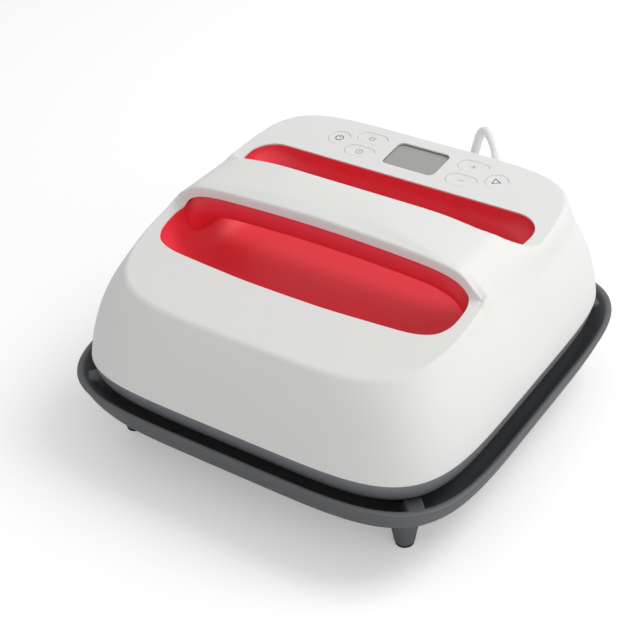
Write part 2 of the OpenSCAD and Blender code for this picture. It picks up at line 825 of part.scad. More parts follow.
// The cord leaves level with its strain relief, arches over and comes down behind the base.
// Each pair is how far it has gone, across and back alike, and its height.
cord_route = [for (p = [
    [0.1, 126.1], [3, 128.3], [7, 130], [12, 130.4], [17, 128.9], [22, 125], [26, 119.2], [30, 110],
    [33.5, 101], [36.5, 92], [39, 83], [41.5, 73], [43.5, 64], [45.5, 54], [47.5, 44], [49.8, 33.2],
    [52.7, 24], [57, 15.5], [62.7, 8.9], [69.5, 4.8], [77, 3.4], [83, 3.4]
]) [cord_tip[0] - p[0], cord_tip[1] + p[0], p[1]]];
coil_at = [-105, 205];
coil_z = 0.1;
coil_in = coil_r - (coil_rows - 1) * cord_d;
coil_top = coil_z + 2 * cord_d;
coil_end = 31;          // how far the cord's end runs on from the coil to the plug

module power_cord() {
    color(white) tube(cord_route, cord_d / 2, 10, [1, 1, 0]);
}

module cord_coil() {
    edge = 2.6;
    inner = coil_in - cord_d / 2;
    outer = coil_r + cord_d / 2;
    color(white) {
        translate([coil_at[0], coil_at[1], 0]) rotate_extrude($fn = 96) polygon([
            [inner, coil_z + edge], [inner + edge, coil_z],
            [outer - edge, coil_z], [outer, coil_z + edge],
            [outer, coil_top - edge], [outer - edge, coil_top],
            [inner + edge, coil_top], [inner, coil_top - edge]
        ]);
        translate([-50.1, 217.1, coil_z + cord_d / 2 + 0.05])
            rotate([0, -90, -45]) cylinder(r = cord_d / 2, h = 28);
        translate([coil_at[0], plug_at[1], plug_at[2]])
            rotate([0, 90, 0]) cylinder(r = cord_d / 2, h = coil_end);
    }
}

// A strap round all the turns on one side of the coil
module cord_tie() {
    inner = coil_in - cord_d / 2 - 2.2;
    outer = coil_r + cord_d / 2 + 1.4;
    color(black) translate([coil_at[0], coil_at[1], 0]) rotate([0, 0, 150])
        translate([inner, 0, 0]) rotate([90, 0, 0])
            linear_extrude(12, center = true) difference() {
                translate([0, 0.02]) square([outer - inner, coil_top + 1.2]);
                translate([1.2, 0.08]) square([outer - inner - 2.4, coil_top]);
            }
}

plug_at = [coil_at[0] + coil_end + 0.05, coil_at[1] - coil_r + 2.5, coil_z + 1.5 * cord_d];
module power_plug() {
    color(white) translate(plug_at) {
        rotate([0, 90, 0]) rotate_extrude() polygon([
            [0, 0], [4.2, 0], [4.2, 3], [3.7, 4], [4.8, 5], [4.8, 7], [4.2, 8], [5.5, 9], [5.5, 11],
            [4.8, 12], [6.5, 14], [7.5, 17], [0, 17]
        ]);
        difference() {
            translate([16, 0, 0]) rotate([90, 0, 90]) linear_extrude(34) rounded(24, 19.4, 6);
            translate([32, 0, 0]) rotate([90, 0, 90]) {
                for (s = [-1, 1]) translate([s * 6.35 - 0.8, -0.7, 0]) cube([1.6, 6.6, 19]);
                translate([0, -6.5, 0]) cylinder(r = 2.45, h = 19);
            }
        }
    }
}

module plug_pins() {
    color(brass) translate(plug_at) translate([33, 0, 0]) rotate([90, 0, 90]) {
        for (s = [-1, 1]) translate([s * 6.35 - 0.75, -0.6, 0]) cube([1.5, 6.4, 35]);
        translate([0, -6.5, 0]) cylinder(r = 2.4, h = 37);
        translate([0, -6.5, 37]) sphere(2.4);
    }
}

base_tray();
base_corner_guides();
base_heat_mat();
base_foot_pads();
top_shell();
grip_liner();
grip_underside();
grip_screws();
skirt_frame();
shell_screws();
heat_plate();
plate_spacers();
plate_screws();
heating_element();
element_clips();
plate_insulation();
heat_shield();
thermistor();
thermal_cutoff();
power_board();
board_standoffs();
power_board_screws();
transformer();
power_relay();
capacitors();
mains_fuse();
terminal_block();
element_leads();
mains_leads();
ribbon_cable();
control_board();
control_board_screws();
lcd_module();
lcd_window();
tact_switches();
buzzer();
power_button();
temperature_button();
timer_button();
plus_button();
minus_button();
start_button();
cord_clamp();
inner_cord();
strain_relief();
power_cord();
cord_coil();
cord_tie();
power_plug();
plug_pins();
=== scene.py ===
# %% [markdown]
# # A handheld heat press in its safety base
# A heat press is a shallow box with a hot plate underneath and a grip bar across a hand opening.
# The imported solids are loaded first, as a fixed frame in metres. Each later step dresses one piece of
# it: either the solid keeps its mesh and gets a finish, or a smoother piece is built in its place.

# %% Load the solids
import bpy
import bmesh
import json
import math
import numpy as np
from mathutils import Matrix, Vector


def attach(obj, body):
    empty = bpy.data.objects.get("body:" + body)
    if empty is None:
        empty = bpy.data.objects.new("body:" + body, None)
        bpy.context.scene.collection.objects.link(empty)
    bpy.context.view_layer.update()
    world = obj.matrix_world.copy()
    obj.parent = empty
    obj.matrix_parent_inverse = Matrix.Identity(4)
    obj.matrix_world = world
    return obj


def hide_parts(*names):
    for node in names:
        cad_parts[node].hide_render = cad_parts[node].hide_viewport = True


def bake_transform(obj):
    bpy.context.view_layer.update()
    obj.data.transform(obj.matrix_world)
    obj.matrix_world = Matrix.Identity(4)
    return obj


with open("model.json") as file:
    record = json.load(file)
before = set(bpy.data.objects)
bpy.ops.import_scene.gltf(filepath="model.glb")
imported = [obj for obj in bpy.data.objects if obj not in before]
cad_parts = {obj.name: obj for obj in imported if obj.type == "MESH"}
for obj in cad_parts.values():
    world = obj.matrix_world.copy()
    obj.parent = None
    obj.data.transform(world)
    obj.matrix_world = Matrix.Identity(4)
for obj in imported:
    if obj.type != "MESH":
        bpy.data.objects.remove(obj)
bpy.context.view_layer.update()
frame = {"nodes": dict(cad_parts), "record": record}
nodes = frame["nodes"]

# %% [markdown]
# ## The camera
# A product is shown from above a front corner with a long lens, so that its edges stay nearly
# parallel. A camera could be aimed with a Track To constraint, but a constraint hides the numbers.
# Here its matrix is written out: it stands on a sphere round a point in the middle of the press.

# %% Camera
target = Vector((0, 0, 0.06119))
distance = 0.88946
turn = math.radians(34.01)
height = math.radians(35.72)
roll = math.radians(-2.14)
back = Vector((math.sin(turn) * math.cos(height), -math.cos(turn) * math.cos(height), math.sin(height)))
level = Vector((math.cos(turn), math.sin(turn), 0))
upward = back.cross(level)
right = level * math.cos(roll) + upward * math.sin(roll)
over = upward * math.cos(roll) - level * math.sin(roll)
pose = Matrix((right, over, back)).transposed().to_4x4()
pose.translation = target + back * distance
camera = bpy.data.objects.new("camera", bpy.data.cameras.new("camera"))
bpy.context.scene.collection.objects.link(camera)
camera.matrix_world = pose
camera.data.sensor_width = 36
camera.data.lens = 77.89
camera.data.shift_x = -0.0457
camera.data.shift_y = -0.0051
camera.data.clip_end = 20
bpy.context.scene.camera = camera
bpy.context.scene.view_settings.view_transform = "Standard"
print("camera at", [round(c, 3) for c in pose.translation])

# %% [markdown]
# ## Finishes
# Every finish here is made of nodes that read Object coordinates, so the grain keeps its real size in
# metres on every piece. All of them share one effect, built once as a node group: a moulded grain
# that gives a height for bumps, small changes of gloss and a slow cloud that varies the colour.
# The shader itself stays in each material, where its plain numbers are set on its own sockets.

# %% A group that gives moulded plastic its fine grain
def new_group(name, inputs, outputs):
    group = bpy.data.node_groups.new(name, "ShaderNodeTree")
    for label, kind, value in inputs:
        socket = group.interface.new_socket(label, in_out="INPUT", socket_type=kind)
        socket.default_value = value
    for label, kind in outputs:
        group.interface.new_socket(label, in_out="OUTPUT", socket_type=kind)
    return group, group.nodes.new("NodeGroupInput"), group.nodes.new("NodeGroupOutput")


def noise(tree, place, scale, detail=3.0, roughness=0.5):
    node = tree.nodes.new("ShaderNodeTexNoise")
    node.inputs["Detail"].default_value = detail
    node.inputs["Roughness"].default_value = roughness
    if isinstance(scale, (int, float)):
        node.inputs["Scale"].default_value = scale
    else:
        tree.links.new(scale, node.inputs["Scale"])
    tree.links.new(place, node.inputs["Vector"])
    return node.outputs["Fac"]


def spread(tree, value, low, high, low_from=0.3, high_from=0.7):
    node = tree.nodes.new("ShaderNodeMapRange")
    node.inputs["From Min"].default_value = low_from
    node.inputs["From Max"].default_value = high_from
    for label, end in (("To Min", low), ("To Max", high)):
        if isinstance(end, (int, float)):
            node.inputs[label].default_value = end
        else:
            tree.links.new(end, node.inputs[label])
    tree.links.new(value, node.inputs["Value"])
    return node.outputs["Result"]


grain_group, grain_in, grain_out = new_group(
    "moulded_grain",
    [("Place", "NodeSocketVector", (0, 0, 0)), ("Scale", "NodeSocketFloat", 900.0),
     ("Gloss Low", "NodeSocketFloat", 0.4), ("Gloss High", "NodeSocketFloat", 0.5)],
    [("Height", "NodeSocketFloat"), ("Roughness", "NodeSocketFloat"), ("Cloud", "NodeSocketFloat")],
)
fine = noise(grain_group, grain_in.outputs["Place"], grain_in.outputs["Scale"], 2.0, 0.55)
broad = noise(grain_group, grain_in.outputs["Place"], 34.0, 4.0, 0.6)
gloss = spread(grain_group, broad, grain_in.outputs["Gloss Low"], grain_in.outputs["Gloss High"])
grain_group.links.new(fine, grain_out.inputs["Height"])
grain_group.links.new(gloss, grain_out.inputs["Roughness"])
grain_group.links.new(broad, grain_out.inputs["Cloud"])
print("node group made:", grain_group.name, "with", len(grain_group.nodes), "nodes")

# %% A helper that builds a moulded finish from that group
def tint(colour, factor):
    return tuple(min(1.0, c * factor) for c in colour[:3]) + (1.0,)


def moulded(name, colour, gloss=(0.42, 0.5), scale=900.0, bump=0.05, vary=0.015, metallic=0.0, **sockets):
    material = bpy.data.materials.new(name)
    material.use_nodes = True
    tree = material.node_tree
    shader = tree.nodes["Principled BSDF"]
    place = tree.nodes.new("ShaderNodeTexCoord").outputs["Object"]
    grain = tree.nodes.new("ShaderNodeGroup")
    grain.node_tree = grain_group
    tree.links.new(place, grain.inputs["Place"])
    grain.inputs["Scale"].default_value = scale
    grain.inputs["Gloss Low"].default_value = gloss[0]
    grain.inputs["Gloss High"].default_value = gloss[1]
    ramp = tree.nodes.new("ShaderNodeValToRGB")
    ramp.color_ramp.elements[0].position = 0.3
    ramp.color_ramp.elements[0].color = tint(colour, 1 - vary)
    ramp.color_ramp.elements[1].position = 0.7
    ramp.color_ramp.elements[1].color = tint(colour, 1 + vary)
    height = tree.nodes.new("ShaderNodeBump")
    height.inputs["Strength"].default_value = bump
    height.inputs["Distance"].default_value = 0.0004
    tree.links.new(grain.outputs["Cloud"], ramp.inputs["Fac"])
    tree.links.new(ramp.outputs["Color"], shader.inputs["Base Color"])
    tree.links.new(grain.outputs["Roughness"], shader.inputs["Roughness"])
    tree.links.new(grain.outputs["Height"], height.inputs["Height"])
    tree.links.new(height.outputs["Normal"], shader.inputs["Normal"])
    shader.inputs["Metallic"].default_value = metallic
    for label, value in sockets.items():
        shader.inputs[label.replace("_", " ")].default_value = value
    return material


finish = {
    "white_shell": moulded("white_shell", (0.83, 0.83, 0.82), (0.46, 0.54), 1100.0, 0.04, 0.006),
    "red_plastic": moulded("red_plastic", (0.86, 0.045, 0.072), (0.44, 0.52), 1000.0, 0.05, 0.02),
    "slate_plastic": moulded("slate_plastic", (0.2, 0.21, 0.225), (0.42, 0.5), 900.0, 0.06, 0.03),
    "charcoal_plastic": moulded("charcoal_plastic", (0.105, 0.11, 0.117), (0.5, 0.6), 700.0, 0.12, 0.04),
    "heat_mat": moulded("heat_mat", (0.012, 0.012, 0.013), (0.5, 0.65), 420.0, 0.3, 0.1),
    "foot_rubber": moulded("foot_rubber", (0.02, 0.02, 0.021), (0.7, 0.8), 600.0, 0.2, 0.1),
    "coated_aluminium": moulded("coated_aluminium", (0.03, 0.031, 0.033), (0.32, 0.42), 1500.0, 0.08, 0.06),
    "ceramic": moulded("ceramic", (0.76, 0.72, 0.62), (0.6, 0.72), 500.0, 0.1, 0.03),
    "bright_metal": moulded("bright_metal", (0.6, 0.61, 0.62), (0.25, 0.36), 300.0, 0.05, 0.03, 1.0),
    "steel": moulded("steel", (0.5, 0.5, 0.51), (0.3, 0.4), 400.0, 0.05, 0.04, 1.0),
    "brass": moulded("brass", (0.75, 0.52, 0.2), (0.25, 0.36), 500.0, 0.05, 0.04, 1.0),
    "cutoff_case": moulded("cutoff_case", (0.52, 0.48, 0.32), (0.5, 0.6), 700.0, 0.08, 0.04),
    "circuit_board": moulded("circuit_board", (0.01, 0.075, 0.03), (0.25, 0.35), 250.0, 0.08, 0.12),
    "winding_tape": moulded("winding_tape", (0.7, 0.47, 0.06), (0.35, 0.45), 350.0, 0.1, 0.05),
    "relay_case": moulded("relay_case", (0.012, 0.03, 0.19), (0.3, 0.4), 800.0, 0.06, 0.05),
    "black_plastic": moulded("black_plastic", (0.012, 0.012, 0.012), (0.4, 0.5), 800.0, 0.1, 0.1),
    "lead_insulation": moulded("lead_insulation", (0.38, 0.015, 0.01), (0.5, 0.6), 500.0, 0.08, 0.05),
    "ribbon": moulded("ribbon", (0.47, 0.47, 0.45), (0.35, 0.45), 400.0, 0.08, 0.05),
    "lcd_grey": moulded("lcd_grey", (0.26, 0.27, 0.24), (0.3, 0.4), 500.0, 0.02, 0.02),
    "lcd_window": moulded("lcd_window", (0.36, 0.37, 0.35), (0.22, 0.26), 300.0, 0.01, 0.02),
    "cord_white": moulded("cord_white", (0.93, 0.93, 0.92), (0.42, 0.5), 800.0, 0.06, 0.012),
}
slot_of = {row["node"]: row["material_slot"] for row in frame["record"]["subparts"]}
for label, node in nodes.items():
    node.data.materials.clear()
    node.data.materials.append(finish[slot_of[label]])
print("finishes:", len(finish), "given to", len(slot_of), "solids")

# %% [markdown]
# ## Floor and light
# Small appliances look best under one broad soft light and a pale room. A sun lamp gives hard
# shadows, and a ring of lamps gives none. Here one soft box stands to the right and behind, a wider
# and weaker one to the right, and the world fills the rest. The floor is plain white paint. Rays from
# the camera see the room as white.

# %% Floor
floor_mesh = bmesh.new()
bmesh.ops.create_grid(floor_mesh, x_segments=1, y_segments=1, size=6.0)
floor_data = bpy.data.meshes.new("floor")
floor_mesh.to_mesh(floor_data)
floor_mesh.free()
floor = bpy.data.objects.new("floor", floor_data)
bpy.context.scene.collection.objects.link(floor)
paper = bpy.data.materials.new("floor_paper")
paper.use_nodes = True
paper_tree = paper.node_tree
paper_shader = paper_tree.nodes["Principled BSDF"]
paper_shader.inputs["Base Color"].default_value = (0.87, 0.87, 0.87, 1)
paper_shader.inputs["Roughness"].default_value = 0.9
paper_shader.inputs["Specular IOR Level"].default_value = 0.1
paper_light = paper_tree.nodes.new("ShaderNodeLightPath")
paper_shader.inputs["Emission Color"].default_value = (1, 1, 1, 1)
paper_lift = paper_tree.nodes.new("ShaderNodeMath")
paper_lift.operation = "MULTIPLY"
paper_lift.inputs[1].default_value = 0.3
paper_tree.links.new(paper_light.outputs["Is Camera Ray"], paper_lift.inputs[0])
paper_tree.links.new(paper_lift.outputs["Value"], paper_shader.inputs["Emission Strength"])
floor_data.materials.append(paper)
print("floor side", 12, "m")

# %% World and the soft box
world = bpy.data.worlds.new("room")
bpy.context.scene.world = world
world.use_nodes = True
room_tree = world.node_tree
room = room_tree.nodes["Background"]
room.inputs["Color"].default_value = (1, 1, 1, 1)
room_light = room_tree.nodes.new("ShaderNodeLightPath")
seen = room_tree.nodes.new("ShaderNodeMath")
seen.operation = "MAXIMUM"
room_strength = room_tree.nodes.new("ShaderNodeMapRange")
room_strength.inputs["To Min"].default_value = 0.52
room_strength.inputs["To Max"].default_value = 1.0
room_tree.links.new(room_light.outputs["Is Camera Ray"], seen.inputs[0])
room_tree.links.new(room_light.outputs["Is Transmission Ray"], seen.inputs[1])
either = room_tree.nodes.new("ShaderNodeMath")
either.operation = "MAXIMUM"
room_tree.links.new(seen.outputs["Value"], either.inputs[0])
room_tree.links.new(room_light.outputs["Is Glossy Ray"], either.inputs[1])
room_tree.links.new(either.outputs["Value"], room_strength.inputs["Value"])
room_tree.links.new(room_strength.outputs["Result"], room.inputs["Strength"])


def soft_box(name, place, aim, size, power):
    lamp = bpy.data.lights.new(name, "AREA")
    lamp.shape = "RECTANGLE"
    lamp.size = size[0]
    lamp.size_y = size[1]
    lamp.energy = power
    holder = bpy.data.objects.new(name, lamp)
    bpy.context.scene.collection.objects.link(holder)
    facing = (Vector(aim) - Vector(place)).to_track_quat("-Z", "Y")
    holder.matrix_world = Matrix.LocRotScale(Vector(place), facing, None)
    return holder


key_lamp = soft_box("key_soft_box", (0.75, 0.65, 1.5), (0, 0, 0.06), (0.8, 0.8), 12.5)
side_lamp = soft_box("side_soft_box", (2.0, -0.5, 0.9), (0, 0, 0.08), (1.8, 1.4), 8)
print("lamp power", key_lamp.data.energy, "and", side_lamp.data.energy, "W")

# %% [markdown]
# ## Lofts
# Most pieces of this press are rounded squares that change from level to level, which a modeller
# makes by lofting: one ring of points per level, joined by faces. Bridging loops one by one would
# do it too. One grid from `create_grid`, with its rows laid on the rings, is the same mesh at once.

# %% Helpers that lay a grid on rings, close it, weld it, thicken it and make it a piece
MM = 0.001
sharp_angle = math.radians(40)


def loft(bm, rings, closed=True):
    rings = np.asarray(rings, float)
    rows = len(rings)
    count = rings.shape[1]
    wide = count if closed else count - 1
    made = bmesh.ops.create_grid(bm, x_segments=rows - 1, y_segments=wide, size=0.5)["verts"]
    for vert in made:
        row = round((vert.co.x + 0.5) * (rows - 1))
        place = round((vert.co.y + 0.5) * wide) % count
        vert.co = Vector(rings[row, place]) * MM


def cap(bm, row):
    bm.faces.new([bm.verts.new(Vector(p) * MM) for p in row])


def closed_loft(bm, rings):
    loft(bm, rings)
    cap(bm, rings[0])
    cap(bm, rings[-1])


def weld(bm, dist=2e-6, outward=True):
    bmesh.ops.remove_doubles(bm, verts=bm.verts[:], dist=dist)
    bmesh.ops.dissolve_degenerate(bm, edges=bm.edges[:], dist=1e-7)
    if outward:
        bmesh.ops.recalc_face_normals(bm, faces=bm.faces[:])


def thicken(bm, thickness):
    bmesh.ops.solidify(bm, geom=bm.faces[:], thickness=thickness * MM)
    bmesh.ops.recalc_face_normals(bm, faces=bm.faces[:])


def piece_from(bm, name, body, slot, stands_for=(), material=None):
    mesh = bpy.data.meshes.new(name)
    bm.to_mesh(mesh)
    bm.free()
    mesh.shade_smooth()
    mesh.set_sharp_from_angle(angle=sharp_angle)
    mesh.materials.append(material or finish[slot])
    piece = bpy.data.objects.new(name, mesh)
    bpy.context.scene.collection.objects.link(piece)
    if body:
        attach(piece, body)
    if stands_for:
        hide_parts(*stands_for)
    print(name, "faces", len(mesh.polygons))
    return piece

# %% [markdown]
# ## The mains cord
# A mains lead is a fixed length of round cable, 1.7 m here. It leaves the rear wall through a strain
# relief, arches over, comes down behind the base and is put away in a flat coil of two layers with a
# strap round it, its plug beside it. A curve with a bevel would do; here it is swept as a mesh along
# points that are worked out here.

# %% The points of the cord
cord_radius = 3.2
cord_pitch = 6.5
cord_level = 3.35
outer_turn = 47.5
inner_turn = 28
coil_turns = 6.625
exit_mm = np.array([33.0, 134.0, 126.0])
hang = [
    [0, 126], [1.5, 127.3], [3, 128.3], [7, 130], [12, 130.4], [17, 128.9], [22, 125], [26, 119.2],
    [30, 110], [33.5, 101], [36.5, 92], [39, 83], [41.5, 73], [43.5, 64], [45.5, 54], [47.5, 44],
    [49.8, 33.2], [52.7, 24], [57, 15.5], [62.7, 8.9], [69.5, 4.8], [77, 3.35], [83, 3.35], [93.5, 3.35],
]
route = np.array([[exit_mm[0] - p[0], exit_mm[1] + p[0], p[1]] for p in hang])
coil_centre = np.array([-105.0, 205.0])


def coil_point(turns):
    angle = math.radians(45 + 360 * turns)
    radius = outer_turn - cord_pitch * turns
    level = cord_level
    if 3 < turns < 4:
        lean = 2 * (turns - 3) - 1
        span = 1 + lean * lean
        reach = math.sqrt(1 - span / 4) / math.sqrt(span)
        radius = inner_turn + cord_pitch * (0.5 - reach)
        level = cord_level + cord_pitch * (0.5 + lean * reach)
    if turns >= 4:
        radius = inner_turn + cord_pitch * (turns - 4)
        level = cord_level + cord_pitch
    return [coil_centre[0] + radius * math.cos(angle), coil_centre[1] + radius * math.sin(angle), level]


turn_steps = 40
coil = np.array([coil_point(k / turn_steps) for k in range(1, int(coil_turns * turn_steps) + 1)])
entry = np.array(coil_point(0))
plug_mm = np.array([-73.95, 160.0, 9.85])
lead_out = np.array([[x, plug_mm[1], plug_mm[2]] for x in (-97.0, -89.0, -81.0, plug_mm[0])])


def smooth_line(points, between):
    out = []
    for k in range(len(points) - 1):
        a = points[max(k - 1, 0)]
        b = points[k]
        c = points[k + 1]
        d = points[min(k + 2, len(points) - 1)]
        for step in range(between):
            t = step / between
            out.append(0.5 * (2 * b + (c - a) * t + (2 * a - 5 * b + 4 * c - d) * t * t
                              + (3 * b - a - 3 * c + d) * t * t * t))
    out.append(points[-1])
    return np.array(out)


cord_line = np.vstack([smooth_line(np.vstack([route, [entry]]), 4), coil, lead_out])


# %% The cord swept along its points
def sweep_rings(line, radius, sides, first_side=(1, 1, 0.1)):
    rings = []
    side = Vector(first_side)
    for k, point in enumerate(line):
        ahead = Vector(line[min(k + 1, len(line) - 1)]) - Vector(line[max(k - 1, 0)])
        ahead.normalize()
        side = (side - ahead * side.dot(ahead)).normalized()
        other = ahead.cross(side)
        angles = [2 * math.pi * (s + 0.5) / sides for s in range(sides)]
        rings.append([Vector(point) + radius * (side * math.cos(a) + other * math.sin(a)) for a in angles])
    return np.array([[tuple(p) for p in ring] for ring in rings])


cord_mesh = bmesh.new()
cord_rings = sweep_rings(cord_line, cord_radius, 14)
closed_loft(cord_mesh, cord_rings)
weld(cord_mesh)
cord = piece_from(cord_mesh, "mains_cord", None, "cord_white", ("power_cord", "cord_coil"))
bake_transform(cord)

# %% [markdown]
# ## The white shell
# The shell is one moulding: four leaning walls, a sloping front lip, a grip bar that stands up between
# two openings, and a flat control panel behind. Subdividing a cube would round all of it alike, and a
# voxel remesh would blur the edges. So three smooth distance fields say where the walls, the side
# profile and the crown lie, a soft maximum joins them with a small radius, and a regular net of faces
# is moved onto that form. The net has its rows along the openings, so their edges come out clean.

# %% Side profile and crown of the shell
lip_slope = 0.2
panel_slope = 0.09
panel_y = 85
panel_z = 135.7
shell_foot = 61.7
shell_thickness = 1.2
grip_y = -8
bar_foot = 128
bar_rise = 22.9


def lip_at(y):
    return 116.6 + lip_slope * (y + 90)


def panel_at(y):
    return panel_z + panel_slope * (y - panel_y)


grip_points = [
    [-46, lip_at(-46)], [-40, 126.7], [-35, 127.8], [-31.8, 129.6], [-29.8, 132.9], [-29.1, 137.5],
    [-28.9, 144], [-28.8, 149], [-28.6, 150.2], [-28, 150.9], [-26.6, 151.3], [-22, 152], [-14, 152.8],
    [-4, 153.3], [4, 153.1], [9, 152.4], [11.9, 150.9], [13, 148.4], [13.4, 142], [15, 136],
    [19, 131.9], [24, panel_at(24)],
]
# Height of the front crease of the grip, which falls towards the ends of the bar
crease_points = [
    [0, 150.9], [20, 150.4], [43, 149.6], [54, 149.1], [65, 148.5], [75, 147.7], [83, 146.8],
    [90, 145.6], [95, 144], [99.5, 140.9], [103, 137.4], [106, 134.2], [109, 132], [112, 130.6],
    [140, 129],
]
crown_points = [
    [0, 154], [25, 153.6], [50, 151.8], [70, 149.6], [87, 147], [95, 144.8], [100, 141.8],
    [104, 138.3], [108, 134.9], [111.5, 131.8], [114.5, 128.5], [118, 123], [122, 114], [130, 90],
    [140, 60],
]
# Height over the shell's lower edge; how far sides, front and rear lean in; corners, front and rear
wall_table = [
    [0, 0, 0, 0, 5.2, 5.2], [14, 1, 4.3, 3, 5.2, 5.2], [28, 3.5, 9.9, 6.8, 5.1, 5.2],
    [40, 7.2, 16, 11, 4.9, 5.2], [50, 11.6, 21.9, 14.8, 4.5, 5.2], [60, 16.7, 28.5, 18.6, 4.2, 5.2],
    [70, 20.2, 36, 22.5, 4, 5.2], [78, 21.9, 43, 25.8, 4, 5.2], [86, 24, 51, 29.5, 4, 5.2],
    [96, 27.5, 63, 35, 4, 5.2],
]


def padded_points(points):
    return np.array([list(p) + [0.0] for p in points])


profile_line = np.vstack([
    [[-170, lip_at(-170)], [-70, lip_at(-70)], [-54, lip_at(-54)]],
    smooth_line(padded_points(grip_points), 7)[:, :2],
    [[32, panel_at(32)], [50, panel_at(50)], [170, panel_at(170)]],
])
crown_line = smooth_line(padded_points(crown_points), 6)[:, :2]
crease_line = smooth_line(padded_points(crease_points), 6)[:, :2]
wall_curves = [smooth_line(padded_points([[row[0], row[k]] for row in wall_table]), 8) for k in range(1, 6)]
profile_run = np.concatenate([[0], np.cumsum(np.linalg.norm(np.diff(profile_line, axis=0), axis=1))])
print("profile points", len(profile_line), "crown points", len(crown_line))


# %% Distance fields of the shell
def line_distance(line, across, level):
    start = line[:-1]
    step = line[1:] - start
    size = (step ** 2).sum(1)
    dx = across[:, None] - start[None, :, 0]
    dz = level[:, None] - start[None, :, 1]
    t = np.clip((dx * step[:, 0] + dz * step[:, 1]) / size, 0, 1)
    ex = dx - t * step[:, 0]
    ez = dz - t * step[:, 1]
    gap = ex * ex + ez * ez
    near = gap.argmin(1)
    rows = np.arange(len(across))
    side = step[near, 0] * ez[rows, near] - step[near, 1] * ex[rows, near]
    return np.sqrt(gap[rows, near]) * np.where(side >= 0, 1.0, -1.0)


def wall_section(level):
    h = np.clip(level - shell_foot, 0, 96)
    side, front, rear, front_power, rear_power = [np.interp(h, c[:, 0], c[:, 1]) for c in wall_curves]
    return 132.5 - side, (front - rear) / 2, 133 - (front + rear) / 2, front_power, rear_power


def ease(t):
    t = np.clip(t, 0, 1)
    return t * t * (3 - 2 * t)


def wider(y, z):
    """The sides lean in less beside the control panel."""
    return 3 * ease(y / 40) * ease((z - 112) / 18)


# How far back the rear side of the bar lies, as it flares towards its ends
flare_back = smooth_line(padded_points([[0, 0], [60, 0], [82, 0], [90, 1.2], [95, 2.9], [99, 4.8],
                                        [102, 7.4], [105.5, 10.4], [110, 13.5], [116, 15],
                                        [140, 15]]), 6)[:, :2]


def bar_place(x, y):
    """The place on the side profile that a point of the shell belongs to."""
    back = np.interp(np.abs(x), flare_back[:, 0], flare_back[:, 1])
    place = y - back * ease((y + 20) / 33)
    for _ in range(14):
        place = 0.4 * place + 0.6 * (y - back * ease((place + 20) / 33))
    return place


def wall_distance(p):
    half_x, middle, half_y, front_power, rear_power = wall_section(p[:, 2])
    half_x = half_x + wider(p[:, 1], p[:, 2])
    power = np.where(p[:, 1] < middle, front_power, rear_power)
    ax = np.abs(p[:, 0]) / half_x + 1e-9
    ay = np.abs(p[:, 1] - middle) / half_y + 1e-9
    s = (ax ** power + ay ** power) ** (1 / power)
    gx = s ** (1 - power) * ax ** (power - 1) / half_x
    gy = s ** (1 - power) * ay ** (power - 1) / half_y
    lean = 0.09 + 0.6 * (np.clip(p[:, 2] - shell_foot, 0, 60) / 90) ** 1.5
    return (s - 1) / np.sqrt(gx * gx + gy * gy) / np.sqrt(1 + lean * lean)


def soft_max(a, b, r):
    return np.minimum(np.maximum(a, b), -r) + np.hypot(np.maximum(a + r, 0), np.maximum(b + r, 0))


def squeeze(x, y):
    """Share of the bar's height over the lip that is left at x, on the front side of the bar."""
    full = (np.interp(np.abs(x), crease_line[:, 0], crease_line[:, 1]) - bar_foot) / bar_rise
    return full + (1 - full) * ease((y + 27) / 10)


def shell_field(p):
    scale = squeeze(p[:, 0], p[:, 1])
    level = np.where(p[:, 2] > bar_foot, bar_foot + (p[:, 2] - bar_foot) / scale, p[:, 2])
    place = bar_place(p[:, 0], p[:, 1])
    rise = panel_slope * (p[:, 1] - place) * ease((place - 13) / 11)
    top = line_distance(profile_line, place, level - rise)
    crown = line_distance(crown_line, np.abs(p[:, 0]) - 3 * ease((p[:, 1] - 18) / 25), p[:, 2])
    walls = wall_distance(p)
    shoulder = 1.5 + 3.5 * ease((p[:, 1] + 27) / 14) * np.clip((40 - p[:, 1]) / 20, 0.2, 1)
    return soft_max(soft_max(top, crown, 0.9), walls, shoulder)


def moved(p, value, amount, least, reach):
    """Points moved down the slope of the form by an amount, never more than reach at a time."""
    probe = 0.02
    slope = np.stack([(shell_field(p + d) - value) / probe for d in np.eye(3) * probe], axis=1)
    move = amount[:, None] * slope / np.maximum((slope ** 2).sum(1), least)[:, None]
    size = np.linalg.norm(move, axis=1, keepdims=True)
    return p - move * np.minimum(1, reach / np.maximum(size, 1e-9))


def settle(p, steps=4):
    for _ in range(steps):
        value = shell_field(p)
        p = moved(p, value, value, 0.05, 3.0)
    return p


print("field at the top of the grip", round(float(shell_field(np.array([[0, 0, 153.0]]))[0]), 2))


# %% Outlines of the two openings and of the shoulder
def run_of(y):
    return np.interp(y, profile_line[:, 0], profile_run)


def height_of(y):
    return np.interp(y, profile_line[:, 0], profile_line[:, 1])


def crown_of(x):
    return np.interp(np.abs(x), crown_line[:, 0], crown_line[:, 1])


def resample(points, count):
    run = np.concatenate([[0], np.cumsum(np.linalg.norm(np.diff(points, axis=0), axis=1))])
    at = np.linspace(0, run[-1], count + 1)
    return np.stack([np.interp(at, run, points[:, k]) for k in range(points.shape[1])], axis=1)


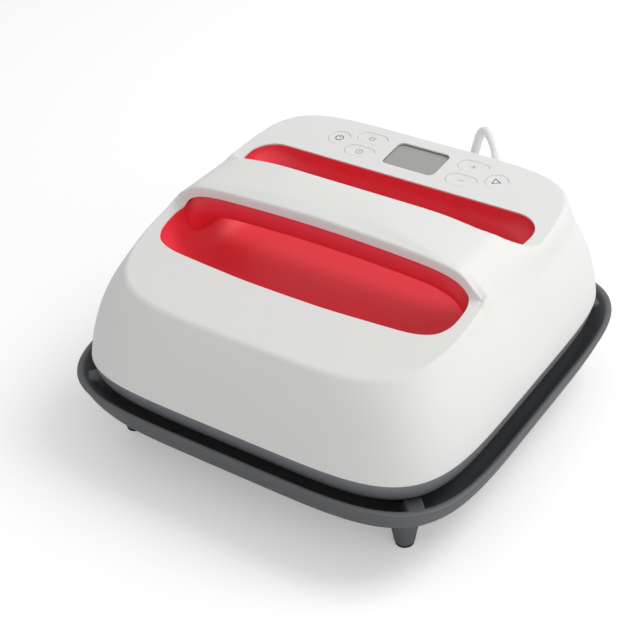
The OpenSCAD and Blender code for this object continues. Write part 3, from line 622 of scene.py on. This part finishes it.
def rounded_sides(y0, r0, y1, r1, half_x, counts):
    """The four sides of a rounded opening, each from the middle of one corner to the next."""
    arcs = []
    for sx, cy, r, first in ((1, y0 + r0[1], r0, -90), (1, y1 - r1[1], r1, 0), (-1, y1 - r1[1], r1, 90),
                             (-1, y0 + r0[1], r0, 180)):
        angles = np.radians(np.linspace(first, first + 90, 25))
        arcs.append(np.stack([sx * (half_x - r[0]) + r[0] * np.cos(angles),
                              cy + r[1] * np.sin(angles)], axis=1))
    sides = [
        np.vstack([arcs[3][12:], arcs[0][:13]]), np.vstack([arcs[0][12:], arcs[1][:13]]),
        np.vstack([arcs[1][12:], arcs[2][:13]]), np.vstack([arcs[2][12:], arcs[3][:13]]),
    ]
    return [resample(side, n) for side, n in zip(sides, counts)]


def shoulder_at(angle):
    low, high = 60.0, 190.0
    for _ in range(40):
        reach = (low + high) / 2
        x = reach * math.sin(angle)
        y = grip_y - reach * math.cos(angle)
        z = min(float(height_of(y)), max(float(crown_of(x)), 127.8))
        if z > bar_foot and y < -26:
            z = bar_foot + (z - bar_foot) * float(squeeze(x, y))
        inside = float(wall_distance(np.array([[x, y, z]]))[0]) < 0
        low, high = (reach, high) if inside else (low, reach)
    return [x, y]


long_side = 100
short_side = 28
shoulder = np.array([shoulder_at(math.radians(a)) for a in np.arange(0, 180.1, 1.0)])
shoulder = np.vstack([shoulder, (shoulder * [-1, 1])[-2:0:-1]])
print("shoulder from", shoulder[0].round(1), "over", shoulder[90].round(1), "to", shoulder[180].round(1))


# %% Rows of points from the openings out to the shoulder and down the walls
wall_part = slice(20, 68)  # the points of the profile that form the front of the bar
rear_run = float(run_of(13.46))
corner_front = 47  # places on the shoulder, in degrees from the front
corner_rear = 133


def spaced(count, tight):
    t = np.linspace(0, 1, count + 1)
    return (1 - tight) * t + tight * (0.5 - 0.5 * np.cos(np.pi * t))


def lift(x, run):
    place = np.interp(run, profile_run, profile_line[:, 0])
    back = np.interp(np.abs(x), flare_back[:, 0], flare_back[:, 1])
    y = place + back * ease((place + 20) / 33)
    z = np.interp(run, profile_run, profile_line[:, 1])
    z = np.where(z > bar_foot, bar_foot + (z - bar_foot) * squeeze(x, y), z)
    z = z + panel_slope * (y - place) * ease((place - 13) / 11)
    return np.stack([x, y, np.minimum(z, crown_of(x))], axis=-1)


def crest_side(sign):
    reach = float(shoulder[90][0])
    x = np.linspace(-reach, reach, 400)
    z = np.minimum(crown_of(x), 152.8)
    even = resample(np.stack([x, z], axis=1), long_side)[:, 0] * sign
    return np.stack([even, np.full(len(even), float(grip_y))], axis=1)


def shoulder_side(first, last, count):
    picked = [shoulder[k % len(shoulder)] for k in range(first, last + 1)]
    return resample(np.array(picked), count)


size = len(shoulder)
counts = [long_side, short_side, long_side, short_side]
# Edge of the front opening: on the lip as x and y, on the front of the bar as x and z
edge_on_lip = [
    [0, -69.4], [20, -69.3], [33, -69], [53, -67.9], [75, -66.5], [84, -65.6], [90, -64.3], [95.1, -62.3],
    [98.3, -60.3], [101.1, -57], [103.3, -52.4], [104.3, -47], [104.6, -42], [104.5, -38], [104.1, -34.8],
    [103.2, -32],
]
edge_on_bar = [
    [101.8, 130.5], [100.2, 132.5], [97.9, 134.7], [94.9, 136.8], [90.8, 138.6], [83.8, 140.4], [75, 141.6],
    [64, 142.4], [54, 142.9], [43, 143.4], [20, 144.1], [0, 144.3],
]
half_edge = [[x, float(run_of(y))] for x, y in edge_on_lip]
for x, z in edge_on_bar:
    level = bar_foot + (z - bar_foot) / float(squeeze(x, -29))
    half_edge.append([x, float(np.interp(level, profile_line[wall_part, 1], profile_run[wall_part]))])
whole_edge = half_edge[::-1] + [[-x, run] for x, run in half_edge[1:-1]]
whole_edge = whole_edge[-1:] + whole_edge + whole_edge[:2]
edge_curve = smooth_line(padded_points(whole_edge), 6)[6:-6, :2]


def edge_sides(curve, counts):
    """The closed edge as its four sides, front, right, bar and left, from corner to corner."""
    mark_front = np.abs(curve - [97, float(run_of(-61))]).sum(1).argmin()
    mark_bar = np.abs(curve - half_edge[17]).sum(1).argmin()
    left_front = np.abs(curve - [-97, float(run_of(-61))]).sum(1).argmin()
    left_bar = np.abs(curve - [-half_edge[17][0], half_edge[17][1]]).sum(1).argmin()
    loop = curve[:-1] if np.allclose(curve[0], curve[-1]) else curve
    size = len(loop)
    sides = []
    for first, last in ((left_front, mark_front), (mark_front, mark_bar), (mark_bar, left_bar),
                        (left_bar, left_front)):
        steps = (first - last) % size
        sides.append(loop[[(first - k) % size for k in range(steps + 1)]])
    return [resample(side, n) for side, n in zip(sides, counts)]


front_hole = edge_sides(edge_curve, counts)
rear_hole = rounded_sides(13, (20.2, 30.5), 61, (18, 17.5), 104.9, counts)
front_outer = [
    shoulder_side(size - corner_front, size + corner_front, long_side),
    shoulder_side(size + corner_front, size + 90, short_side),
    crest_side(-1),
    shoulder_side(size - 90, size - corner_front, short_side),
]
rear_outer = [
    crest_side(1),
    shoulder_side(90, corner_rear, short_side),
    shoulder_side(corner_rear, size - corner_rear, long_side),
    shoulder_side(size - corner_rear, size - 90, short_side),
]


def joined(sides):
    return np.vstack([side[:-1] for side in sides])


def top_rows(hole, outer, low_run=None, steps=40):
    inner = joined(hole)
    rim = joined(outer)
    rim_run = run_of(bar_place(rim[:, 0], rim[:, 1]))
    inner_run = inner[:, 1]
    if low_run is not None:
        inner_run = np.maximum(run_of(bar_place(inner[:, 0], inner[:, 1])), low_run)
    rows = []
    for t in spaced(steps, 0.55):
        rows.append(lift(inner[:, 0] * (1 - t) + rim[:, 0] * t, inner_run * (1 - t) + rim_run * t))
    return np.array(rows)


front_rows = top_rows(front_hole, front_outer)
rear_rows = top_rows(rear_hole, rear_outer, rear_run)
edge = np.vstack([side[:-1] for side in (front_outer[0], front_outer[1], rear_outer[1], rear_outer[2],
                                         rear_outer[3], front_outer[3])])
edge_z = lift(edge[:, 0], run_of(bar_place(edge[:, 0], edge[:, 1])))[:, 2]


def wall_rows(edge, edge_z, steps=34):
    half_x, middle, half_y, front_power, rear_power = wall_section(edge_z)
    half_x = half_x + wider(edge[:, 1], edge_z)
    in_front = edge[:, 1] < middle
    power = np.where(in_front, front_power, rear_power)
    along = np.power(np.abs(edge[:, 0]) / half_x, power / 2) * np.sign(edge[:, 0])
    across = np.power(np.abs(edge[:, 1] - middle) / half_y, power / 2) * np.sign(edge[:, 1] - middle)
    angle = np.arctan2(across, along)
    rows = []
    for t in spaced(steps, 0.75):
        z = edge_z * (1 - t) + shell_foot * t
        half_x, middle, half_y, front_power, rear_power = wall_section(z)
        half_x = half_x + wider(edge[:, 1], z)
        power = np.where(in_front, front_power, rear_power)
        x = half_x * np.sign(np.cos(angle)) * np.abs(np.cos(angle)) ** (2 / power)
        y = middle + half_y * np.sign(np.sin(angle)) * np.abs(np.sin(angle)) ** (2 / power)
        rows.append(np.stack([x, y, z], axis=1))
    rows[0] = np.stack([edge[:, 0], edge[:, 1], edge_z], axis=1)
    return np.array(rows)


side_rows = wall_rows(edge, edge_z)
print("rows of the shell", front_rows.shape, rear_rows.shape, side_rows.shape)

# %% Net of faces, moved onto the form
shell_mesh = bmesh.new()
loft(shell_mesh, front_rows)
loft(shell_mesh, rear_rows)
loft(shell_mesh, side_rows)
weld(shell_mesh, 2e-5)
loose = [v for v in shell_mesh.verts if not v.link_faces]
bmesh.ops.delete(shell_mesh, geom=loose, context="VERTS")
net = np.array([v.co for v in shell_mesh.verts]) / MM
net = settle(net)
for vert, place in zip(shell_mesh.verts, net):
    on_skirt = vert.is_boundary and vert.co.z < 0.07
    vert.co = Vector(place) * MM
    if on_skirt:
        vert.co.z = shell_foot * MM
bmesh.ops.recalc_face_normals(shell_mesh, faces=shell_mesh.faces[:])
outward = sum(f.normal.z * f.calc_area() for f in shell_mesh.faces) > 0
print("shell net", len(shell_mesh.faces), "faces, pointing out:", outward)

# %% Wall thickness of the shell
thicken(shell_mesh, shell_thickness)
print("shell faces with both sides", len(shell_mesh.faces))

# %% [markdown]
# ## Holes for the buttons, the display and the cord
# In the mould these are pins and shut-offs; here they are cut. Knife projection would leave the walls
# of each hole open, and insets would have to follow the net. A Boolean with closed cutters gives clean
# walls, so it is worked out once and the mesh it gives is kept, without a live modifier.

# %% The frame of the control panel, and outlines on it
panel_tilt = math.atan(panel_slope)
panel_frame = Matrix.Translation(Vector((0, panel_y, panel_z))) @ Matrix.Rotation(panel_tilt, 4, "X")
display_at = (0, -0.5)
round_places = {"power": (-59.3, -0.7), "start": (59.3, -0.7)}
oval_places = {"temperature": (-38.3, 7.5), "plus": (38.3, 7.5), "timer": (-38.3, -9.2),
               "minus": (38.3, -9.2)}
cord_way = Vector((-15, 15, 14)).normalized()
cord_tip = Vector(exit_mm)


def on_panel(points):
    return np.array([tuple(panel_frame @ Vector(p)) for p in points])


def pill(at, half_w, half_h, r, z, steps=16):
    """A rounded outline on the panel, anticlockwise from the right."""
    out = []
    for cx, cy, first in ((1, 1, 0), (-1, 1, 90), (-1, -1, 180), (1, -1, 270)):
        for k in range(steps + 1):
            a = math.radians(first + 90 * k / steps)
            out.append((at[0] + cx * (half_w - r) + r * math.cos(a),
                        at[1] + cy * (half_h - r) + r * math.sin(a), z))
    return out


def frame_about(way):
    side = way.cross(Vector((0, 0, 1))).normalized()
    return side, way.cross(side)


def round_rings(root, way, profile, sides):
    side, other = frame_about(way)
    rings = []
    for r, h in profile:
        rings.append([tuple(root + way * h + side * (r * math.cos(a)) + other * (r * math.sin(a)))
                      for a in [2 * math.pi * k / sides for k in range(sides)]])
    return rings


cutter_mesh = bmesh.new()
for place in round_places.values():
    outline = [pill(place, 7.68, 7.68, 7.68, z) for z in (-7, 3)]
    closed_loft(cutter_mesh, [on_panel(row) for row in outline])
for place in oval_places.values():
    outline = [pill(place, 10.98, 6.23, 6.23, z) for z in (-7, 3)]
    closed_loft(cutter_mesh, [on_panel(row) for row in outline])
outline = [pill(display_at, 19.5, 13.2, 4.6, z, 8) for z in (-7, 3)]
closed_loft(cutter_mesh, [on_panel(row) for row in outline])
relief_root = cord_tip - cord_way * 28
rings = round_rings(relief_root, cord_way, [(5.8, -12), (5.8, 9)], 40)
closed_loft(cutter_mesh, rings)
weld(cutter_mesh)
print("cutter faces", len(cutter_mesh.faces))

# %% The cut, and soft edges round every opening
def scratch_object(bm, name):
    mesh = bpy.data.meshes.new(name)
    bm.to_mesh(mesh)
    bm.free()
    holder = bpy.data.objects.new(name, mesh)
    bpy.context.scene.collection.objects.link(holder)
    return holder


whole = scratch_object(shell_mesh, "shell_whole")
cutter = scratch_object(cutter_mesh, "shell_cutter")
cut = whole.modifiers.new("holes", "BOOLEAN")
cut.operation = "DIFFERENCE"
cut.solver = "EXACT"
cut.object = cutter
bpy.context.view_layer.update()
result = whole.evaluated_get(bpy.context.evaluated_depsgraph_get()).to_mesh()
shell_mesh = bmesh.new()
shell_mesh.from_mesh(result)
for holder in (whole, cutter):
    used = holder.data
    bpy.data.objects.remove(holder)
    bpy.data.meshes.remove(used)
bmesh.ops.remove_doubles(shell_mesh, verts=shell_mesh.verts[:], dist=1e-5)
rims = [e for e in shell_mesh.edges if len(e.link_faces) == 2 and e.calc_face_angle() > math.radians(55)]
bmesh.ops.bevel(shell_mesh, geom=rims, offset=0.28 * MM, offset_type="OFFSET", affect="EDGES", segments=2,
                profile=0.5, material=-1, clamp_overlap=True)
piece_from(shell_mesh, "white_shell", "press", "white_shell", ("top_shell",))
print("rim edges", len(rims))

# %% [markdown]
# ## The red hand opening
# Under the grip the hand goes into a red tub that is clipped in from below. It is a bowl: wide at the
# rim, narrowing to a small floor. Lofting straight between a few levels shows steps, so the levels are
# smoothed first and many rows are laid between them. Its rim follows the underside of the white shell.

# %% Outlines of the tub
tub_floor = 95.0
tub_middle = -4
red_thickness = 0.8
tub_levels = np.array([
    [95, 78, -41, 31, 3], [95.6, 84, -45.5, 36, 3.2], [97.5, 90, -50.5, 42, 3.5],
    [102, 95.6, -57, 48.5, 4.1], [110, 100.3, -63, 54, 5], [120, 103.6, -67.4, 58.5, 6],
    [130, 105.1, -69.3, 61.1, 7],
    [155, 105.8, -69.6, 61.6, 7.5],
])
tub_curves = [smooth_line(padded_points(tub_levels[:, [0, k]]), 8) for k in range(1, 5)]


def tub_section(z):
    return [np.interp(z, c[:, 0], c[:, 1]) for c in tub_curves]


def tub_point(angle, z):
    half_x, front, rear, power = tub_section(z)
    c = np.cos(angle)
    s = np.sin(angle)
    x = half_x * np.sign(c) * np.abs(c) ** (2 / power)
    y = (front + rear) / 2 + (rear - front) / 2 * np.sign(s) * np.abs(s) ** (2 / power)
    return np.stack([x, y, z + 0 * x], axis=-1)


def skin_height(x, y):
    return np.minimum(height_of(bar_place(x, y)), crown_of(x))


def hold_under(p, depth, steps):
    """Points moved in where they are less than depth under the outer surface of the shell."""
    for _ in range(steps):
        value = shell_field(p)
        p = moved(p, value, np.maximum(value + depth, 0), 0.3, 0.8)
    return p


def height_under(x, y, depth):
    low = np.full(len(x), 100.0)
    high = np.full(len(x), 156.0)
    for _ in range(30):
        z = (low + high) / 2
        inside = shell_field(np.stack([x, y, z], axis=1)) < -depth
        low = np.where(inside, z, low)
        high = np.where(inside, high, z)
    return low


dense = np.linspace(0, 2 * np.pi, 2881)
outline = tub_point(dense, np.full(2881, 125.0))
run = np.concatenate([[0], np.cumsum(np.linalg.norm(np.diff(outline, axis=0), axis=1))])
tub_angles = np.interp(np.linspace(0, run[-1], 257)[:-1], run, dense)
start = tub_point(tub_angles, np.full(256, 125.0))
lip_points = np.array(edge_on_lip[:13])
rear_corner = np.array([[86.9 + 18 * math.cos(a), 43.5 + 17.5 * math.sin(a)]
                        for a in np.linspace(0, math.pi / 2, 13)])
side_line = np.array([[104.6, y] for y in np.linspace(-40, 41, 20)])
rear_line = np.array([[x, 61.0] for x in np.linspace(80, 0, 20)])
front_line = resample(lip_points, 60)
half_rim = np.vstack([front_line, side_line, rear_corner, rear_line])
rim_turn = np.arctan2(half_rim[:, 0], tub_middle - half_rim[:, 1])
rim_reach = np.hypot(half_rim[:, 0], half_rim[:, 1] - tub_middle) - 0.4
turn = np.arctan2(np.abs(start[:, 0]), tub_middle - start[:, 1])
reach = np.interp(turn, rim_turn, rim_reach)
rim_x = np.sign(start[:, 0]) * reach * np.sin(turn)
rim_y = tub_middle - reach * np.cos(turn)
rim_z = skin_height(rim_x, rim_y) - 0.9
covered = np.clip((rim_y + 34) / 3, 0, 1) * np.clip((38 - rim_y) / 4, 0, 1)
rim_z = rim_z * (1 - covered) + height_under(rim_x, rim_y, 2.2) * covered
rim_row = np.stack([rim_x, rim_y, rim_z], axis=1)
tub_rows = []
for t in np.linspace(0, 1, 34):
    drop = 1 - (1 - t) ** 1.6
    z = rim_z * (1 - drop) + tub_floor * drop
    share = ease((rim_z - z) / 12)[:, None]
    row = rim_row * (1 - share) + tub_point(tub_angles, z) * share
    row[:, 2] = z
    tub_rows.append(row)
floor_ring = tub_rows[-1]
middle = floor_ring.mean(axis=0)
for share in (0.93, 0.82, 0.66, 0.48, 0.3, 0.14):
    row = middle + (floor_ring - middle) * share
    row[:, 2] = tub_floor - 0.6 * (1 - share)
    tub_rows.append(row)
tub_mesh = bmesh.new()
loft(tub_mesh, tub_rows)
cap(tub_mesh, tub_rows[-1])
weld(tub_mesh)
if sum(f.normal.z for f in tub_mesh.faces if f.calc_center_median().z < 0.0955) < 0:
    bmesh.ops.reverse_faces(tub_mesh, faces=tub_mesh.faces[:])
thicken(tub_mesh, red_thickness)
piece_from(tub_mesh, "hand_tub", "press", "red_plastic", ("grip_liner",))

# %% [markdown]
# ## The underside of the grip
# The lower half of the grip is a separate red moulding, a trough whose belly is round for the fingers
# and whose ends flare down onto the tub. It could be a bevelled curve with a taper, but the flare goes
# down more than sideways. So one section is swept from end to end and stretched near the ends, and
# each point that would pass the tub's wall is held on it.

# %% The belly swept along the grip
belly_points = [
    [-28.75, 140.8], [-28.6, 135], [-27.2, 129.5], [-23.8, 124.8], [-18.5, 121.6], [-11, 120.2],
    [-3, 120.4], [4, 122.2], [9, 126], [11.8, 131], [12.75, 137], [12.75, 140.8],
]
belly_curve = smooth_line(padded_points(belly_points), 5)[:, :2]
flare_x = [0, 70, 78, 86, 92, 96, 100, 106]
flare_by = [1, 1, 1.02, 1.09, 1.28, 1.5, 1.78, 2.1]
band_x = [x for x, _ in edge_on_bar[::-1]]
band_z = [z for _, z in edge_on_bar[::-1]]
stations = np.concatenate([np.linspace(-104.8, -70, 40), np.linspace(-66, 66, 20),
                           np.linspace(70, 104.8, 40)])
# Height of the belly's front edge where it comes down towards the tub's end walls
end_x = [84, 88, 92, 96, 100, 103, 106]
end_z = [140.2, 139.6, 138.4, 135.8, 131.6, 129.4, 128]
belly_top = 140.8
belly_bottom = 120.2
belly_depth = 20.6


def belly_ring(x, curve):
    by = np.interp(abs(x), flare_x, flare_by)
    drop = (belly_top - curve[:, 1]) / belly_depth
    raised = np.interp(min(abs(x), end_x[0]), band_x, band_z) - 141
    lowest = belly_bottom + raised - belly_depth * (by - 1)
    front_top = np.interp(abs(x), end_x, end_z) if abs(x) > end_x[0] else belly_top + raised
    rear_top = min(belly_top, front_top)
    inward = 0.1 * ease((abs(x) - 83) / 6) * (1 - ease(drop * 1.6))
    y = grip_y + (curve[:, 0] - grip_y) * (1 + (by - 1) * 0.25 * drop) * (1 - inward)
    share = np.clip((8 - y) / 30, 0, 1)
    upper = front_top * share + rear_top * (1 - share)
    z = upper - drop * (upper - lowest)
    z = np.minimum(z, crown_of(x) - 2.3)
    half_x, front, rear, power = tub_section(z)
    across = np.clip(np.abs(y - (front + rear) / 2) / ((rear - front) / 2), 0, 0.999)
    reach = half_x * (1 - across ** power) ** (1 / power) + 0.3
    ring = np.stack([np.sign(x) * np.minimum(abs(x), reach), y, z], axis=1)
    tucked = hold_under(ring, 1.6, 12)
    share = ease((abs(x) - 88) / 8)
    return ring * (1 - share) + tucked * share


belly_mesh = bmesh.new()
belly_rows = [belly_ring(x, belly_curve) for x in stations]
loft(belly_mesh, belly_rows, closed=False)
weld(belly_mesh, 1.2e-4, outward=False)
bmesh.ops.dissolve_degenerate(belly_mesh, dist=1e-4, edges=belly_mesh.edges[:])
bmesh.ops.recalc_face_normals(belly_mesh, faces=belly_mesh.faces[:])
if sum(f.normal.z * f.calc_area() for f in belly_mesh.faces) > 0:
    bmesh.ops.reverse_faces(belly_mesh, faces=belly_mesh.faces[:])
thicken(belly_mesh, red_thickness)
piece_from(belly_mesh, "grip_belly", "press", "red_plastic", ("grip_underside",))

# %% [markdown]
# ## The slate skirt and the safety base
# Both are square rings with round corners that change as they rise: a skirt with a bevelled outer face
# and a flat web inside, and a tray with a thick lip, a deep hollow and four feet. Bevelling a solidified
# cube gives corners of one radius only. Here each is lofted through its true outlines, in one closed
# loop of rows, and the tray's feet are turned and sunk into its underside.

# %% Rounded squares as rows
def square_row(half_x, half_y, power, z, count=240):
    angle = np.linspace(0, 2 * np.pi, 1441)
    c = np.cos(angle)
    s = np.sin(angle)
    x = half_x * np.sign(c) * np.abs(c) ** (2 / power)
    y = half_y * np.sign(s) * np.abs(s) ** (2 / power)
    ring = resample(np.stack([x, y], axis=1), count)[:-1]
    return np.column_stack([ring, np.full(count, float(z))])


skirt_rows = []
for inset, power, z in ((5.6, 5.3, 46.0), (4.7, 5.3, 46.2), (4.1, 5.32, 46.9), (2.9, 5.35, 48.2),
                        (1.5, 5.4, 51.2), (0.7, 5.43, 54.2), (0.3, 5.45, 57.2), (0.05, 5.45, 60.6),
                        (0.25, 5.45, 61.2), (0.9, 5.45, 61.45), (2.6, 5.45, 61.5)):
    skirt_rows.append(square_row(131.2 - inset, 131.7 - inset, power, z))
for half, power, z in ((120, 7, 61.5), (92.4, 14, 61.5), (92, 14, 61.2), (92, 14, 57.8), (92.4, 14, 57.5),
                       (116.0, 11, 57.5), (116.3, 11, 57.2), (116.3, 11, 49.5), (117.4, 10, 47.4),
                       (118.6, 9, 46.6), (121, 7, 46.1)):
    skirt_rows.append(square_row(half, half + (0.4 if half > 117 else 0), power, z))
skirt_mesh = bmesh.new()
loft(skirt_mesh, skirt_rows + [skirt_rows[0]])
weld(skirt_mesh)
piece_from(skirt_mesh, "slate_skirt", "press", "slate_plastic", ("skirt_frame",))

# %% The tray of the safety base
tray_outer = [(18.9, 4.7, 26.0), (17.0, 4.7, 26.15), (13.2, 4.8, 27.2), (9.6, 4.9, 29.3), (6.9, 4.98, 32.3),
              (4.9, 5.05, 36.0), (3.2, 5.1, 40.0), (1.9, 5.15, 44.0), (0.9, 5.16, 46.6), (0.15, 5.16, 48.1),
              (0.3, 5.16, 49.0), (0.9, 5.16, 49.55), (1.9, 5.16, 49.7), (2.9, 5.16, 49.6),
              (3.7, 5.16, 49.1), (4.25, 5.16, 48.2), (5.2, 5.16, 47.0), (7.2, 5.15, 43.6),
              (9.6, 5.05, 40.0), (12.6, 4.98, 36.0), (15.9, 4.9, 32.6), (19.8, 4.8, 30.2), (23.4, 4.7, 29.1),
              (26.5, 4.7, 29.0)]
tray_rows = [square_row(142.8 - i, 141.2 - i, p, z) for i, p, z in tray_outer]
inner_floor = [square_row(half, half - 1.5, 5, 29.0) for half in (90, 50, 15)]
under_floor = [square_row(half, half - 1.5, 5, 26.0) for half in (15, 50, 90, 112)]
tray_mesh = bmesh.new()
closed_loft(tray_mesh, under_floor + tray_rows + inner_floor)
foot_profile = [(0.6, 1.8), (5.5, 1.8), (6.2, 2.2), (6.5, 3.3), (7.2, 8), (7.9, 12), (8.7, 17), (9.9, 20.8),
                (11.8, 24.4), (14.2, 26.6), (0.6, 26.6)]
for x in (-102, 102):
    for y in (-102, 102):
        foot = [[(x + r * math.cos(a), y + r * math.sin(a), z)
                 for a in [2 * math.pi * k / 40 for k in range(40)]] for r, z in foot_profile]
        closed_loft(tray_mesh, foot)
weld(tray_mesh)
piece_from(tray_mesh, "safety_tray", "base", "charcoal_plastic", ("base_tray",))

# %% [markdown]
# ## The strain relief
# A soft sleeve is moulded on the cord where it leaves the rear wall, with ribs that let it bend. It is
# a turned form, so a profile is laid round the cord's way out in narrow rings; an Array of tori would
# leave seams between the ribs.

# %% The ribbed sleeve
relief_profile = [(0.8, -9.4), (7.6, -9.4), (8, -9), (8, -7.4), (7.7, -7.1), (5.5, -7.1), (5.5, 2.7),
                  (6.3, 2.7), (6.6, 3.0), (6.6, 4.6), (6.2, 5.3), (5.6, 6), (5.5, 7), (5.7, 8),
                  (6.0, 8.7), (5.9, 9.6),
                  (5.5, 11.4), (5.1, 12.6), (4.9, 13.2), (5.2, 13.8), (5.1, 14.6), (4.8, 16.4), (4.4, 17.6),
                  (4.3, 18.2), (4.6, 18.9), (4.5, 19.7), (4.2, 21.5), (3.9, 22.7), (3.9, 23.3), (4.05, 24),
                  (3.95, 25), (3.75, 26.6), (3.6, 27.6), (3.3, 28), (0.8, 28)]
relief_mesh = bmesh.new()
closed_loft(relief_mesh, round_rings(relief_root, cord_way, relief_profile, 40))
weld(relief_mesh)
piece_from(relief_mesh, "ribbed_relief", "press", "cord_white", ("strain_relief",))

# %% [markdown]
# ## Guides in the corners of the base
# Four small ribs stand in the corners of the tray, so that the press drops into the same place each
# time. They are wedges that lean against the tray's wall; a scaled cube would have no slope on top.

# %% Corner ribs
guide_mesh = bmesh.new()
for sx in (-1, 1):
    for sy in (-1, 1):
        out = Vector((sx, sy, 0)).normalized()
        side = Vector((-sy, sx, 0)).normalized()
        foot = Vector((sx * 117.6, sy * 115.6, 0))
        rows = []
        for z, near, far, half in ((29.3, 17, 1.5, 5.8), (37.0, 11.5, -2.0, 5.6), (43.0, 8.6, -3.6, 5.3),
                                   (45.4, 7.8, -4.2, 4.9), (46.0, 7.0, -3.6, 4.2)):
            corners = [(-near, -half), (-far, -half), (-far, half), (-near, half)]
            rows.append([tuple(foot + out * a + side * b + Vector((0, 0, z))) for a, b in corners])
        closed_loft(guide_mesh, rows)
weld(guide_mesh)
edges = [e for e in guide_mesh.edges if e.calc_face_angle(0) > math.radians(40)]
bmesh.ops.bevel(guide_mesh, geom=edges, offset=0.8 * MM, offset_type="OFFSET", affect="EDGES", segments=3,
                profile=0.5, material=-1, clamp_overlap=True)
bmesh.ops.recalc_face_normals(guide_mesh, faces=guide_mesh.faces[:])
piece_from(guide_mesh, "corner_ribs", "base", "charcoal_plastic", ("base_corner_guides",))

# %% [markdown]
# ## The buttons
# Six soft-touch caps lie almost level with the panel, two round and four oval, each with a shallow dish
# and an icon printed in grey. Separate decal planes would float and flicker, so each icon is a very
# thin raised print, built from rings and bars and joined to the cap it belongs to, so that it travels
# with it. The narrow gap between each cap and its hole makes the soft line round it.

# %% Icons as thin prints
ink_height = 0.07
icon_ink = moulded("icon_ink", (0.05, 0.052, 0.055), (0.55, 0.65), 900.0, 0.02, 0.05)
faint_ink = moulded("faint_ink", (0.3, 0.305, 0.31), (0.55, 0.65), 900.0, 0.02, 0.05)


def bar(bm, places, half, z):
    """A bar of even width along points on the panel."""
    for first, last in zip(places[:-1], places[1:]):
        a = Vector((first[0], first[1], 0))
        b = Vector((last[0], last[1], 0))
        along = (b - a).normalized() * half
        side = Vector((-along.y, along.x, 0))
        outline = [a - along - side, b + along - side, b + along + side, a - along + side]
        closed_loft(bm, [on_panel([(p.x, p.y, level) for p in outline]) for level in (z, z + ink_height)])


def arc(at, r, first, last, steps=20):
    return [(at[0] + r * math.cos(math.radians(first + (last - first) * k / steps)),
             at[1] + r * math.sin(math.radians(first + (last - first) * k / steps)))
            for k in range(steps + 1)]


def ring_mark(bm, at, r, half, z, first=0.0, last=360.0, steps=28):
    bar(bm, arc(at, r, first, last, steps), half, z)


def cap_height(share, top=-0.05):
    """A shallow dish: lowest in the middle, with a soft outer edge."""
    return top - 0.18 * (1 - share ** 2)


def button(name, at, half_w, half_h, r, ink, draw):
    cap_mesh = bmesh.new()
    rows = [pill(at, half_w + 0.8, half_h + 0.8, r + 0.8, -4.2),
            pill(at, half_w + 0.8, half_h + 0.8, r + 0.8, -3.3),
            pill(at, half_w, half_h, r, -3.2), pill(at, half_w, half_h, r, -0.55),
            pill(at, half_w - 0.12, half_h - 0.12, r - 0.12, -0.22),
            pill(at, half_w - 0.4, half_h - 0.4, r - 0.4, -0.06)]
    for inward in (1.0, 1.8, 2.8, 4.0, 5.2):
        share = 1 - (inward - 1.0) / (half_h - 1.0)
        rows.append(pill(at, half_w - inward, half_h - inward, r - inward, cap_height(max(share, 0))))
    closed_loft(cap_mesh, [on_panel(row) for row in rows])
    weld(cap_mesh)
    piece_from(cap_mesh, name + "_face", name + "_key", "white_shell", (name + "_button",))
    icon_mesh = bmesh.new()
    draw(icon_mesh, at)
    weld(icon_mesh, 1e-7)
    piece_from(icon_mesh, name + "_icon", name + "_key", "black_plastic", (), ink)


def draw_power(bm, at):
    ring_mark(bm, at, 2.6, 0.3, -0.205, 118, 422, 30)
    bar(bm, [(at[0], at[1] + 0.6), (at[0], at[1] + 3.2)], 0.3, -0.2)


def draw_heat(bm, at):
    ring_mark(bm, at, 1.6, 0.16, -0.21)
    for k in range(8):
        a = math.radians(45 * k)
        bar(bm, [(at[0] + 2.2 * math.cos(a), at[1] + 2.2 * math.sin(a)),
                 (at[0] + 2.75 * math.cos(a), at[1] + 2.75 * math.sin(a))], 0.15, -0.2)


def draw_clock(bm, at):
    ring_mark(bm, at, 2.3, 0.18, -0.2)
    bar(bm, [(at[0], at[1] + 1.3), at, (at[0] + 1.0, at[1])], 0.17, -0.215)


def draw_plus(bm, at):
    bar(bm, [(at[0] - 1.7, at[1]), (at[0] + 1.7, at[1])], 0.2, -0.215)
    bar(bm, [(at[0], at[1] - 1.7), (at[0], at[1] + 1.7)], 0.2, -0.213)


def draw_minus(bm, at):
    bar(bm, [(at[0] - 1.7, at[1]), (at[0] + 1.7, at[1])], 0.2, -0.215)


def draw_play(bm, at):
    corners = [(at[0] - 2, at[1] - 2.7), (at[0] + 2.8, at[1]), (at[0] - 2, at[1] + 2.7),
               (at[0] - 2, at[1] - 2.7)]
    bar(bm, corners, 0.28, -0.205)


for name, ink, draw in (("power", icon_ink, draw_power), ("start", icon_ink, draw_play)):
    button(name, round_places[name], 7.5, 7.5, 7.5, ink, draw)
for name, ink, draw in (("temperature", faint_ink, draw_heat), ("timer", faint_ink, draw_clock),
                        ("plus", faint_ink, draw_plus), ("minus", faint_ink, draw_minus)):
    button(name, oval_places[name], 10.8, 6.05, 6.05, ink, draw)

# %% [markdown]
# ## The display
# The display is a grey liquid-crystal glass set a little under the panel, in a rectangular opening with
# small round corners. One plane would have no depth, so the glass is a slab with a ground edge,
# and the opening's own walls throw the dark line at its rear and left sides.

# %% Display glass
glass_mesh = bmesh.new()
rows = [pill(display_at, 19.9, 13.6, 4.9, -3.6, 8), pill(display_at, 19.9, 13.6, 4.9, -1.95, 8),
        pill(display_at, 19.7, 13.4, 4.7, -1.75, 8)]
closed_loft(glass_mesh, [on_panel(row) for row in rows])
weld(glass_mesh)
piece_from(glass_mesh, "display_glass", "press", "lcd_window", ("lcd_window",))
